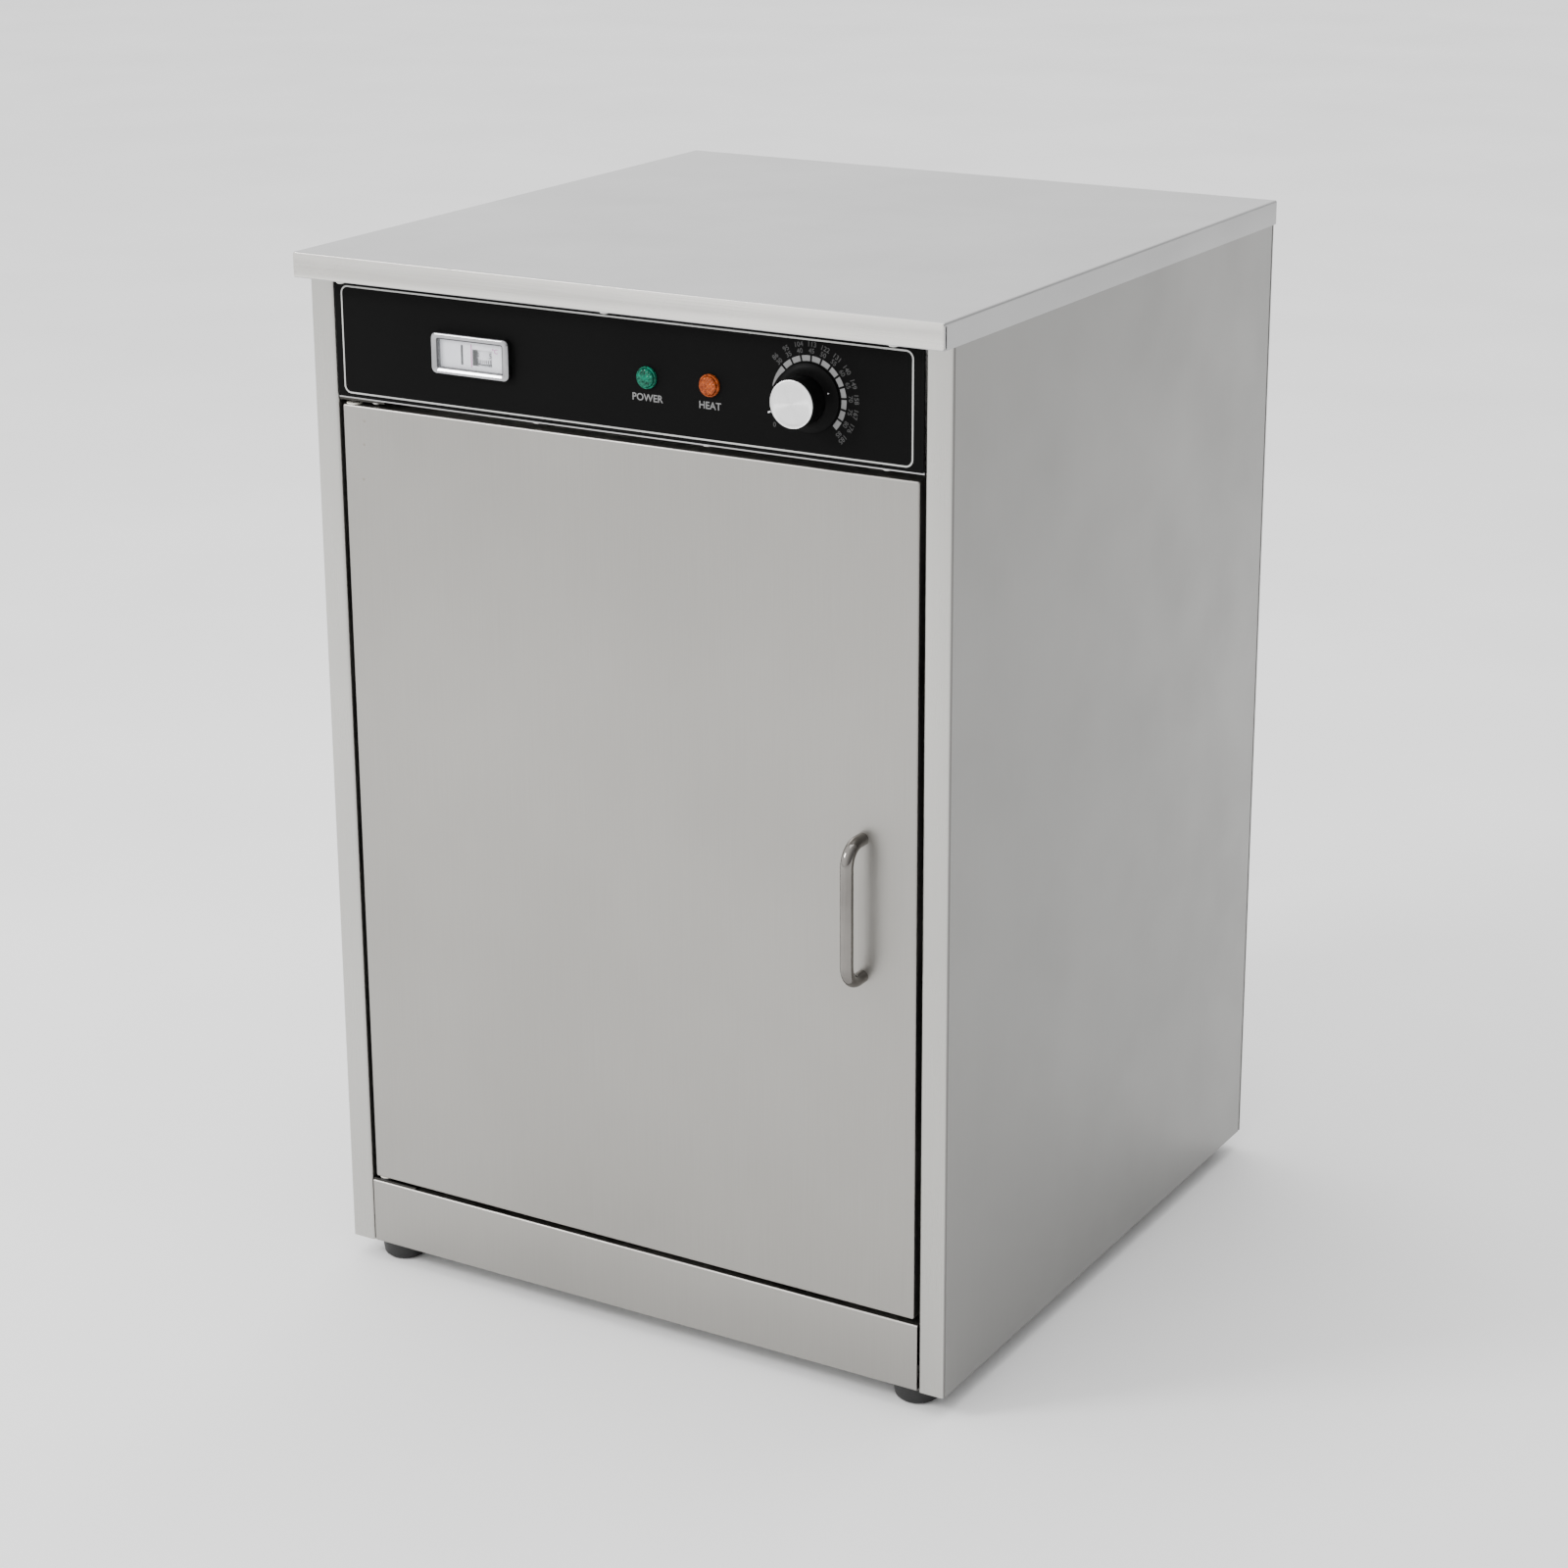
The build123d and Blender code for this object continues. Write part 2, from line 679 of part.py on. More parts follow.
def knob_body():
    rim_front = knob_back - knob_skirt_rim
    skirt = rod_y(thermostat_x, (rim_front, knob_back), control_level, knob_skirt_radius)
    cone = Cone(knob_skirt_radius, knob_radius, knob_skirt_cone)
    skirt += Pos(thermostat_x, rim_front - knob_skirt_cone / 2, control_level) * Rot(90, 0, 0) * cone
    grip = rod_y(thermostat_x, (cap_seat, knob_back), control_level, knob_radius)
    bore = rod_y(thermostat_x, (shaft_front, knob_back + 1), control_level, shaft_radius)
    return skirt + grip - bore


def knob_cap():
    cap = rod_y(thermostat_x, (cap_seat - cap_thickness, cap_seat), control_level, cap_radius)
    return chamfer(cap.edges().group_by(Axis.Y)[0], cap_bevel)


# Dial thermometer: bezel, lens and face in front, a turning scale drum on a spindle in a housing behind.
def thermometer_block(half_width, half_height, y):
    x = (thermometer_x - half_width, thermometer_x + half_width)
    return block(x, y, (control_level - half_height, control_level + half_height))


def thermometer_bezel():
    bezel = thermometer_block(bezel_width / 2, bezel_height / 2, (front - bezel_depth, front))
    bezel = fillet(bezel.edges().filter_by(Axis.Y), bezel_corner)
    bezel = chamfer(bezel.edges().group_by(Axis.Y)[0], bezel_bevel)
    return bezel - thermometer_block(window_width / 2, window_height / 2, (front - bezel_depth - 1, front + 1))


def thermometer_plate(setback, thickness):
    y = front - bezel_depth + setback
    return thermometer_block(window_width / 2, window_height / 2, (y, y + thickness))


def thermometer_face():
    plate = thermometer_plate(face_setback, face_thickness)
    x = thermometer_x + scale_window_x
    window_x = (x - scale_window_width / 2, x + scale_window_width / 2)
    middle = control_level - scale_window_drop
    window_z = (middle - scale_window_height / 2, middle + scale_window_height / 2)
    return plate - block(window_x, (front - bezel_depth, front + 1), window_z)


drum_x = thermometer_x + scale_window_x
drum_y = front + drum_gap + drum_radius
drum_half_height = window_height / 2 - drum_end_gap


def thermometer_housing():
    outer = (window_width / 2 + housing_wall, window_height / 2 + housing_wall)
    box = thermometer_block(outer[0], outer[1], (front, front + housing_depth))
    box -= thermometer_block(window_width / 2, window_height / 2, (front - 1, front + housing_depth - housing_wall))
    z = (control_level - bezel_height / 2, control_level + bezel_height / 2)
    return box - rod_z(drum_x, drum_y, z, spindle_radius + spindle_hole_clearance)


def thermometer_spindle():
    reach = window_height / 2 + housing_wall
    return rod_z(drum_x, drum_y, (control_level - reach, control_level + reach), spindle_radius)


def thermometer_drum():
    z = (control_level - drum_half_height, control_level + drum_half_height)
    drum = rod_z(drum_x, drum_y, z, drum_radius)
    return drum - rod_z(drum_x, drum_y, (z[0] - 1, z[1] + 1), spindle_radius + spindle_clearance)


# Pilot lamps: a domed lens in front, a threaded barrel and nut behind.
def pilot_lens(x):
    lens = rod_y(x, (front - pilot_height, front), control_level, pilot_radius)
    return fillet(lens.edges().group_by(Axis.Y)[0], pilot_round)


def pilot_barrels():
    reach = (front, front + pilot_barrel_length)
    return group([rod_y(x, reach, control_level, pilot_barrel_radius) for x in pilot_xs])


def pilot_nuts():
    shapes = []
    for x in pilot_xs:
        nut = Rot(-90, 0, 0) * extrude(RegularPolygon(pilot_nut_radius, 6), pilot_nut_thickness)
        nut = Pos(x, fascia_back, control_level) * nut
        bore = (fascia_back - 1, fascia_back + pilot_nut_thickness + 1)
        shapes.append(nut - rod_y(x, bore, control_level, pilot_barrel_radius + thread_clearance))
    return group(shapes)


# Mains entry: gland with its locknut in the rear panel, and a terminal block on the tray.
def cable_gland():
    z = gland_level
    y = rear + gland_hex_length
    barrel = rod_y(gland_x, (rear - gland_barrel_length, rear), z, gland_barrel_radius)
    hexagon = Rot(-90, 0, 0) * extrude(RegularPolygon(gland_hex / 2, 6), gland_hex_length)
    hexagon = Pos(gland_x, rear, z) * hexagon
    dome = rod_y(gland_x, (y, y + gland_dome_length), z, gland_hex / 2 - gland_dome_step)
    dome = fillet(dome.edges().group_by(Axis.Y)[-1], gland_dome_round)
    return barrel + hexagon + dome - rod_y(gland_x, (rear - 20, rear + gland_reach + 1), z, gland_bore_radius)


def gland_locknut():
    z = gland_level
    nut = Rot(90, 0, 0) * extrude(RegularPolygon(gland_hex / 2, 6), gland_locknut_length)
    nut = Pos(gland_x, rear - sheet, z) * nut
    return nut - rod_y(gland_x, (rear - 20, rear), z, gland_barrel_radius + thread_clearance)


def terminal_block():
    x = (gland_x - terminal_block_width, gland_x)
    y = (rear - terminal_rear_gap - terminal_block_depth, rear - terminal_rear_gap)
    z = tray_bottom + sheet
    shape = block(x, y, (z, z + terminal_block_height))
    for index in range(terminal_count):
        x_screw = x[0] + (index + 0.5) * terminal_block_width / terminal_count
        top = (z + terminal_block_height - terminal_screw_depth, z + terminal_block_height + 1)
        shape -= rod_z(x_screw, (y[0] + y[1]) / 2, top, terminal_screw_radius)
    return shape


# Door: an outer pan, a liner plate closing its back, and insulation between them.
def door_skin():
    outer = block((-door_half, door_half), (front, door_back), (door_bottom, door_top))
    inside = door_half - sheet
    hollow = block((-inside, inside), (front + sheet, door_back + 1), (door_bottom + sheet, door_top - sheet))
    skin = outer - hollow
    for z in (door_bottom, door_top):
        skin -= rod_z(pivot_x, pivot_y, (z - 2 * sheet, z + 2 * sheet), bush_radius + bush_clearance)
    for z in handle_screw_zs:
        skin -= rod_y(handle_x, (front - 1, front + 2), z, screw_radius + hole_clearance)
    for x, z in door_screw_points():
        hole = tuple(sorted((x - 2 * sheet, x + 2 * sheet)))
        skin -= rod_x(hole, front + door_screw_setback, z, low_screw_radius + hole_clearance)
    return skin


def door_screw_points():
    return [(x, z) for x in (-door_half, door_half) for z in door_screw_zs]


# The liner's sides fold forward inside the pan and take the edge screws.
def door_liner():
    inside = door_half - sheet
    z = (door_bottom + sheet, door_top - sheet)
    liner = block((-inside, inside), (door_back - liner_sheet, door_back), z)
    fold_front = front + door_screw_setback - liner_fold_reach
    fold_z = (z[0] + bush_length + bush_space, z[1] - bush_length - bush_space)
    for side in (-1, 1):
        x = tuple(sorted((side * (inside - liner_sheet), side * inside)))
        liner += block(x, (fold_front, door_back), fold_z)
    for x, z_screw in door_screw_points():
        hole = tuple(sorted((x - 3 * sheet, x + 3 * sheet)))
        liner -= rod_x(hole, front + door_screw_setback, z_screw, low_screw_radius + thread_clearance)
    return liner


def door_insulation():
    inside = door_half - sheet - liner_sheet - edge_space
    z = (door_bottom + sheet + bush_length + bush_space, door_top - sheet - bush_length - bush_space)
    slab = block((-inside, inside), (front + sheet, door_back - liner_sheet), z)
    for z_screw in handle_screw_zs:
        recess = (front, front + sheet + screw_head_height + insulation_gap)
        slab -= rod_y(handle_x, recess, z_screw, screw_head_radius + insulation_gap)
    return slab


def door_edge_screws():
    shapes = []
    for x, z in door_screw_points():
        turn = -90 if x > 0 else 90
        body = screw(low_screw_radius, low_head_radius, low_head_height, door_screw_length)
        shapes.append(Pos(x, front + door_screw_setback, z) * Rot(0, turn, 0) * body)
    return group(shapes)


def door_gasket():
    outer = (door_half - gasket_inset, door_bottom + gasket_inset, door_top - gasket_inset)
    inner = (outer[0] - gasket_width, outer[1] + gasket_width, outer[2] - gasket_width)
    return ring_y(outer, inner, (door_back, door_back + gasket_depth))


# Handle: a round rod bent to a D, held by two screws from inside the door.
def door_handle():
    grip_y = front - handle_standoff
    low, high = handle_screw_zs
    corners = [(front, low), (grip_y, low), (grip_y, high), (front, high)]
    path = FilletPolyline(*[(handle_x, y, z) for y, z in corners], radius=handle_bend)
    start = Plane(origin=(handle_x, front, low), z_dir=(0, -1, 0))
    handle = sweep(start * Circle(handle_rod_radius), path=path)
    for z in handle_screw_zs:
        handle -= rod_y(handle_x, (front - handle_screw_reach - 1, front + 1), z, screw_radius + thread_clearance)
    return handle


def handle_screws():
    shapes = []
    for z in handle_screw_zs:
        body = screw(screw_radius, screw_head_radius, screw_head_height, sheet + handle_screw_reach)
        shapes.append(Pos(handle_x, front + sheet, z) * Rot(90, 0, 0) * body)
    return group(shapes)


# Pivots: flanged bushes in the door's top and bottom edges turn on pins fixed to two brackets.
def hinge_bush(z, up):
    body = sorted((z, z - up * bush_length))
    flange = sorted((z, z + up * bush_flange_thickness))
    bush = rod_z(pivot_x, pivot_y, body, bush_radius)
    bush += rod_z(pivot_x, pivot_y, flange, bush_flange_radius)
    whole = (body[0] - bush_length, body[1] + bush_length)
    return bush - rod_z(pivot_x, pivot_y, whole, pin_hole_radius)


def hinge_bracket(z, pin_z):
    x = (-post_inner + fascia_gap, -post_inner + fascia_gap + hinge_plate_length)
    plate = block(x, (front + overlay_thickness, front + fascia_flange), z)
    return plate + rod_z(pivot_x, pivot_y, pin_z, pin_radius)


def upper_hinge_bracket():
    z = (fascia_bottom - hinge_plate, fascia_bottom)
    bracket = hinge_bracket(z, (door_top - bush_length + 1, z[0]))
    hole = (z[0] - 1, z[1] + 1)
    return bracket - rod_z(-fascia_screw_outer, fascia_screw_y, hole, screw_radius + hole_clearance)


def lower_hinge_bracket():
    z = (plinth_top, plinth_top + hinge_plate)
    return hinge_bracket(z, (z[1], door_bottom + bush_length - 1))


def hinge_washer():
    z = (plinth_top + hinge_plate, door_bottom - bush_flange_thickness - body_gap)
    washer = rod_z(pivot_x, pivot_y, z, bush_flange_radius)
    return washer - rod_z(pivot_x, pivot_y, (z[0] - 1, z[1] + 1), pin_hole_radius)


# Magnetic catch: magnet on the door frame, steel striker on the door's back.
catch_x = (door_half - catch_setback - catch_width, door_half - catch_setback)
catch_z = (handle_z - catch_height / 2, handle_z + catch_height / 2)


def catch_magnet():
    return block(catch_x, (door_back + striker_thickness + 2 * body_gap, frame_front), catch_z)


def catch_striker():
    return block(catch_x, (door_back, door_back + striker_thickness), catch_z)


os.makedirs("parts", exist_ok=True)
right_panel = side_panel()
save("side_panel_right", right_panel)
save("side_panel_left", mirrored(right_panel))
save("rear_panel", rear_panel())
save("base_pan", base_pan())
save("worktop", worktop())
save("control_fascia", control_fascia())
save("fascia_overlay", fascia_overlay())
save("control_tray", control_tray())
save("body_screws", body_screws())
save("plinth", plinth())
save("feet", feet())
save("foot_screws", foot_screws())
save("door_frame", door_frame())
save("chamber_side_walls", both_sides(chamber_side()))
save("chamber_wall_rear", chamber_rear())
save("chamber_floor", chamber_end((chamber_floor - liner_sheet, chamber_floor)))
save("chamber_ceiling", chamber_end((chamber_ceiling, chamber_ceiling + liner_sheet)))
save("insulation_sides", both_sides(side_insulation()))
save("insulation_rear", rear_insulation())
save("insulation_roof", roof_insulation())
save("shelf_ledges", both_sides(shelf_ledges()))
for shelf_number in range(shelf_count):
    save("wire_shelf_" + str(shelf_number + 1), wire_shelf(ledge_heights[shelf_number + 1]))
save("water_pan", water_pan())
save("heating_element", heating_element())
save("element_nuts", element_nuts())
save("sensing_bulbs", sensing_bulbs())
save("bulb_clips", bulb_clips())
save("thermostat", thermostat())
save("thermostat_screws", thermostat_screws())
save("thermostat_shaft", thermostat_shaft())
save("knob_body", knob_body())
save("knob_cap", knob_cap())
save("thermometer_bezel", thermometer_bezel())
save("thermometer_lens", thermometer_plate(lens_setback, lens_thickness))
save("thermometer_face", thermometer_face())
save("thermometer_drum", thermometer_drum())
save("thermometer_spindle", thermometer_spindle())
save("thermometer_housing", thermometer_housing())
save("pilot_lens_green", pilot_lens(pilot_xs[0]))
save("pilot_lens_amber", pilot_lens(pilot_xs[1]))
save("pilot_barrels", pilot_barrels())
save("pilot_nuts", pilot_nuts())
save("cable_gland", cable_gland())
save("gland_locknut", gland_locknut())
save("terminal_block", terminal_block())
save("door_skin", door_skin())
save("door_liner", door_liner())
save("door_insulation", door_insulation())
save("door_edge_screws", door_edge_screws())
save("door_gasket", door_gasket())
save("door_handle", door_handle())
save("handle_screws", handle_screws())
save("hinge_bushes", group([hinge_bush(door_top, 1), hinge_bush(door_bottom, -1)]))
save("hinge_bracket_upper", upper_hinge_bracket())
save("hinge_bracket_lower", lower_hinge_bracket())
save("hinge_washer", hinge_washer())
save("catch_magnet", catch_magnet())
save("catch_striker", catch_striker())
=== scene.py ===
import bpy
import bmesh
import math
from mathutils import Matrix, Vector


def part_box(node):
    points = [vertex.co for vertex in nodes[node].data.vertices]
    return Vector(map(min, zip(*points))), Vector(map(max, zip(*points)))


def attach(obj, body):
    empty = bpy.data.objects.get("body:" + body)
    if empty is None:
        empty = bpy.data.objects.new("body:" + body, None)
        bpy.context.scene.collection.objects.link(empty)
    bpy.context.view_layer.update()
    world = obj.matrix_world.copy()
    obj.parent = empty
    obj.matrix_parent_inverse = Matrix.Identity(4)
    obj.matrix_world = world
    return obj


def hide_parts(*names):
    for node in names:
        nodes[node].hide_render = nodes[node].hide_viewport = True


# Countertop proofing cabinet. Metres, +Z up, the door faces -Y.
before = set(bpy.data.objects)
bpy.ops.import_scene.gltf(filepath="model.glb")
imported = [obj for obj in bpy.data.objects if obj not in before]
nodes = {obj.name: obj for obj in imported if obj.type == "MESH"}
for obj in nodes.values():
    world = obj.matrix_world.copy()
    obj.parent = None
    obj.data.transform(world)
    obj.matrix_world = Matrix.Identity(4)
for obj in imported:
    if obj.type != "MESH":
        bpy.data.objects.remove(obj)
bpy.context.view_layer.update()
mm = 0.001
print("frame loaded:", len(nodes), "nodes")


# small helpers

def span(node):
    # lowest and highest corner of a node, as two vectors
    low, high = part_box(node)
    return Vector(low), Vector(high)


def hexColour(text):
    # sRGB hex to the linear colour that shaders use
    channels = [int(text[i:i + 2], 16) / 255 for i in (0, 2, 4)]
    return [c / 12.92 if c <= 0.04045 else ((c + 0.055) / 1.055) ** 2.4 for c in channels] + [1.0]


def addNode(tree, kind, settings=None, links=None):
    # one shader or geometry node; string settings are properties or sockets, numbers are socket places
    node = tree.nodes.new(kind)
    later = {}
    for key, value in (settings or {}).items():
        if isinstance(key, str) and key not in node.inputs:
            setattr(node, key, value)
        else:
            later[key] = value
    for key, value in later.items():
        node.inputs[key].default_value = value
    for key, source in (links or {}).items():
        tree.links.new(source, node.inputs[key])
    return node


def newMaterial(name, values):
    material = bpy.data.materials.new(name)
    material.use_nodes = True
    shader = material.node_tree.nodes["Principled BSDF"]
    for key, value in values.items():
        shader.inputs[key].default_value = value
    return material, material.node_tree, shader


def meshPiece(name, vertices, faces, material, body, smooth):
    mesh = bpy.data.meshes.new(name)
    mesh.from_pydata([tuple(v) for v in vertices], [], faces)
    mesh.validate()
    piece = bpy.data.objects.new(name, mesh)
    bpy.context.scene.collection.objects.link(piece)
    finishMesh(piece, smooth)
    if material:
        mesh.materials.append(material)
    if body:
        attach(piece, body)
    return piece


def finishMesh(piece, smooth):
    # merge doubles, turn every face outwards, shade smooth below the given angle
    work = bmesh.new()
    work.from_mesh(piece.data)
    bmesh.ops.remove_doubles(work, verts=work.verts, dist=1e-6)
    bmesh.ops.recalc_face_normals(work, faces=work.faces)
    for face in work.faces:
        face.smooth = True
    for edge in work.edges:
        if len(edge.link_faces) == 2:
            edge.smooth = edge.calc_face_angle(0) < math.radians(smooth)
    work.to_mesh(piece.data)
    work.free()


def joined(parts):
    # several (vertices, faces) lists as one
    vertices, faces = [], []
    for partVertices, partFaces in parts:
        shift = len(vertices)
        vertices += list(partVertices)
        faces += [tuple(index + shift for index in face) for face in partFaces]
    return vertices, faces


def placed(part, origin, u, v, w):
    # move a part drawn in its own (u, v, w) space to the frame
    vertices, faces = part
    u, v, w, origin = Vector(u), Vector(v), Vector(w), Vector(origin)
    return [origin + u * p[0] + v * p[1] + w * p[2] for p in vertices], faces


def facing(origin):
    # axes for a part drawn looking at the front: u right, v up, w out of the door
    return origin, (1, 0, 0), (0, 0, 1), (0, -1, 0)


def roundedLoop(halfU, halfV, radius, steps):
    # rounded rectangle, counterclockwise from the right side
    radius = max(min(radius, halfU, halfV), 1e-6)
    loop = []
    for corner, (su, sv) in enumerate(((1, 1), (-1, 1), (-1, -1), (1, -1))):
        for step in range(steps + 1):
            angle = math.pi / 2 * (corner + step / steps)
            loop.append((su * (halfU - radius) + radius * math.cos(angle),
                         sv * (halfV - radius) + radius * math.sin(angle)))
    return loop


def loft(rings, steps, closed=False):
    # rings are (halfU, halfV, corner radius, w); neighbours are joined by quads, and open ends are capped
    vertices, faces = [], []
    for halfU, halfV, radius, w in rings:
        vertices += [(u, v, w) for u, v in roundedLoop(halfU, halfV, radius, steps)]
    count = 4 * (steps + 1)
    last = len(rings) if closed else len(rings) - 1
    for ring in range(last):
        a, b = ring * count, (ring + 1) % len(rings) * count
        for i in range(count):
            j = (i + 1) % count
            faces.append((a + i, a + j, b + j, b + i))
    if not closed:
        faces.append(tuple(range(count))[::-1])
        faces.append(tuple(range((len(rings) - 1) * count, len(rings) * count)))
    return vertices, faces


def bendRings(halfU, halfV, corner, w, bend, steps=4):
    # a rounded outer edge: rings from the face inwards of the bend to the wall
    rings = []
    for step in range(steps + 1):
        angle = math.pi / 2 * step / steps
        inset = bend * (1 - math.sin(angle))
        rings.append((halfU - inset, halfV - inset, max(corner - inset, 0.2 * mm),
                      w - bend * (1 - math.cos(angle))))
    return rings


def lathe(profile, segments):
    # profile of (radius, w) turned about w; a zero radius closes the end
    vertices, faces = [], []
    rows = []
    for radius, w in profile:
        if radius <= 1e-9:
            rows.append([len(vertices)])
            vertices.append((0, 0, w))
        else:
            rows.append(list(range(len(vertices), len(vertices) + segments)))
            for i in range(segments):
                angle = 2 * math.pi * i / segments
                vertices.append((radius * math.cos(angle), radius * math.sin(angle), w))
    for a, b in zip(rows, rows[1:]):
        for i in range(segments):
            j = (i + 1) % segments
            if len(a) == 1 and len(b) == 1:
                continue
            if len(a) == 1:
                faces.append((a[0], b[i], b[j]))
            elif len(b) == 1:
                faces.append((a[i], a[j], b[0]))
            else:
                faces.append((a[i], a[j], b[j], b[i]))
    return vertices, faces


def roundCorners(points, radius, steps=5):
    # replace each inner corner of an open 2-D path by an arc
    result = [Vector(points[0])]
    for before, corner, after in zip(points, points[1:], points[2:]):
        before, corner, after = Vector(before), Vector(corner), Vector(after)
        inward, outward = (before - corner).normalized(), (after - corner).normalized()
        half = inward.angle(outward) / 2
        reach = radius / math.tan(half)
        centre = corner + (inward + outward).normalized() * radius / math.sin(half)
        start, end = corner + inward * reach, corner + outward * reach
        a, b = (start - centre), (end - centre)
        turn = math.atan2(a.x * b.y - a.y * b.x, a.dot(b))
        for step in range(steps + 1):
            angle = turn * step / steps
            result.append(centre + Vector((a.x * math.cos(angle) - a.y * math.sin(angle),
                                           a.x * math.sin(angle) + a.y * math.cos(angle))))
    result.append(Vector(points[-1]))
    return result


def foldedSheet(points, radius, thickness, low, high):
    # a sheet bent along a 2-D path whose left side is the inside, drawn out from low to high
    outer = roundCorners(points, radius)
    inner = []
    for i, point in enumerate(outer):
        ahead = (outer[min(i + 1, len(outer) - 1)] - outer[max(i - 1, 0)]).normalized()
        inner.append(point + Vector((-ahead.y, ahead.x)) * thickness)
    section = outer + inner[::-1]
    count = len(section)
    vertices = [(p.x, p.y, w) for w in (low, high) for p in section]
    faces = []
    for i in range(count):
        j = (i + 1) % count
        faces.append((i, j, count + j, count + i))
    half = len(outer)
    for i in range(half - 1):
        for shift in (0, count):
            faces.append((shift + i, shift + i + 1, shift + count - 2 - i, shift + count - 1 - i))
    return vertices, faces


def plainBlock(low, high, bevel=0.3 * mm):
    # small sheet-metal block with softened edges
    centre = (Vector(low) + Vector(high)) / 2
    half = (Vector(high) - Vector(low)) / 2
    bevel = min(bevel, min(half) * 0.45)
    rings = bendRings(half.x, half.y, bevel, half.z, bevel, 2)
    rings = rings + [(u, v, r, -w) for u, v, r, w in rings[::-1]]
    return placed(loft(rings, 2), centre, (1, 0, 0), (0, 1, 0), (0, 0, 1))


def evaluatedMesh(piece, name):
    # plain mesh of an object with its live modifiers or text applied
    graph = bpy.context.evaluated_depsgraph_get()
    mesh = bpy.data.meshes.new_from_object(piece.evaluated_get(graph))
    mesh.name = name
    return mesh


# materials

def grain(tree, direction, length, width, detail=3.0):
    # noise drawn out along one axis: the trace of a belt or brush on sheet steel
    stretch = [1 / width] * 3
    stretch["XYZ".index(direction)] = 1 / length
    place = addNode(tree, "ShaderNodeTexCoord")
    scaled = addNode(tree, "ShaderNodeMapping", {"Scale": stretch}, {"Vector": place.outputs["Object"]})
    return addNode(tree, "ShaderNodeTexNoise", {"Scale": 1.0, "Detail": detail, "Roughness": 0.6},
                   {"Vector": scaled.outputs[0]})


def cloud(tree, size, detail=3.0):
    # soft blotches of about the given size
    place = addNode(tree, "ShaderNodeTexCoord")
    return addNode(tree, "ShaderNodeTexNoise", {"Scale": 1 / size, "Detail": detail},
                   {"Vector": place.outputs["Object"]})


def toneBetween(tree, shader, source, dark, light):
    # base colour that drifts between two tones with a noise
    share = addNode(tree, "ShaderNodeMapRange", {1: 0.3, 2: 0.7, 3: 0.0, 4: 1.0}, {0: source.outputs[0]})
    mixTones(tree, shader, share, dark, light)


def mixTones(tree, shader, share, dark, light):
    colour = addNode(tree, "ShaderNodeMix", {"data_type": "RGBA", 6: hexColour(dark), 7: hexColour(light)},
                     {0: share.outputs[0]})
    tree.links.new(colour.outputs[2], shader.inputs["Base Color"])


def steelFinish(name, look):
    # brushed metal: fine lines one way, slow tone changes and a few handling smudges
    material, tree, shader = newMaterial(name, {"Metallic": 1.0})
    fine = grain(tree, look["grain"], look["grainLength"], look["grainWidth"], 4.0)
    broad = grain(tree, look["grain"], look["grainLength"] * 4, look["grainWidth"] * 9, 2.0)
    blotch = cloud(tree, look["blotch"])
    smudge = cloud(tree, look["blotch"] * 0.35, 5.0)
    lines = addNode(tree, "ShaderNodeMath", {"operation": "MULTIPLY", 1: look["streak"]},
                    {0: broad.outputs[0]})
    lines = addNode(tree, "ShaderNodeMath", {"operation": "MULTIPLY_ADD", 1: 0.7},
                    {0: fine.outputs[0], 2: lines.outputs[0]})
    tone = addNode(tree, "ShaderNodeMath", {"operation": "MULTIPLY_ADD", 1: look["blotchShare"]},
                   {0: blotch.outputs[0], 2: lines.outputs[0]})
    middle = 0.5 * (0.7 + look["streak"] + look["blotchShare"])
    mixed = addNode(tree, "ShaderNodeMapRange", {1: middle - 0.35, 2: middle + 0.35, 3: 0.0, 4: 1.0},
                    {0: tone.outputs[0]})
    mixTones(tree, shader, mixed, look["dark"], look["light"])
    rough = addNode(tree, "ShaderNodeMath", {"operation": "MULTIPLY_ADD", 1: 0.4},
                    {0: fine.outputs[0], 2: smudge.outputs[0]})
    rough = addNode(tree, "ShaderNodeMapRange",
                    {1: 0.45, 2: 0.95, 3: look["rough"] - 0.05, 4: look["rough"] + 0.06},
                    {0: rough.outputs[0]})
    tree.links.new(rough.outputs[0], shader.inputs["Roughness"])
    bump = addNode(tree, "ShaderNodeBump", {"Strength": look["bump"], "Distance": 0.02 * mm},
                   {"Height": fine.outputs[0]})
    tree.links.new(bump.outputs[0], shader.inputs["Normal"])
    return material


def mouldedFinish(name, look):
    # moulded plastic or rubber: fine spark-eroded texture and a slight tone change
    material, tree, shader = newMaterial(name, look.get("values", {}))
    texture = cloud(tree, look["grit"], 2.0)
    blotch = cloud(tree, look["blotch"])
    toneBetween(tree, shader, blotch, look["dark"], look["light"])
    rough = addNode(tree, "ShaderNodeMapRange",
                    {1: 0.3, 2: 0.7, 3: look["rough"] - 0.05, 4: look["rough"] + 0.07},
                    {0: texture.outputs[0]})
    tree.links.new(rough.outputs[0], shader.inputs["Roughness"])
    bump = addNode(tree, "ShaderNodeBump", {"Strength": look["bump"], "Distance": 0.05 * mm},
                   {"Height": texture.outputs[0]})
    tree.links.new(bump.outputs[0], shader.inputs["Normal"])
    return material


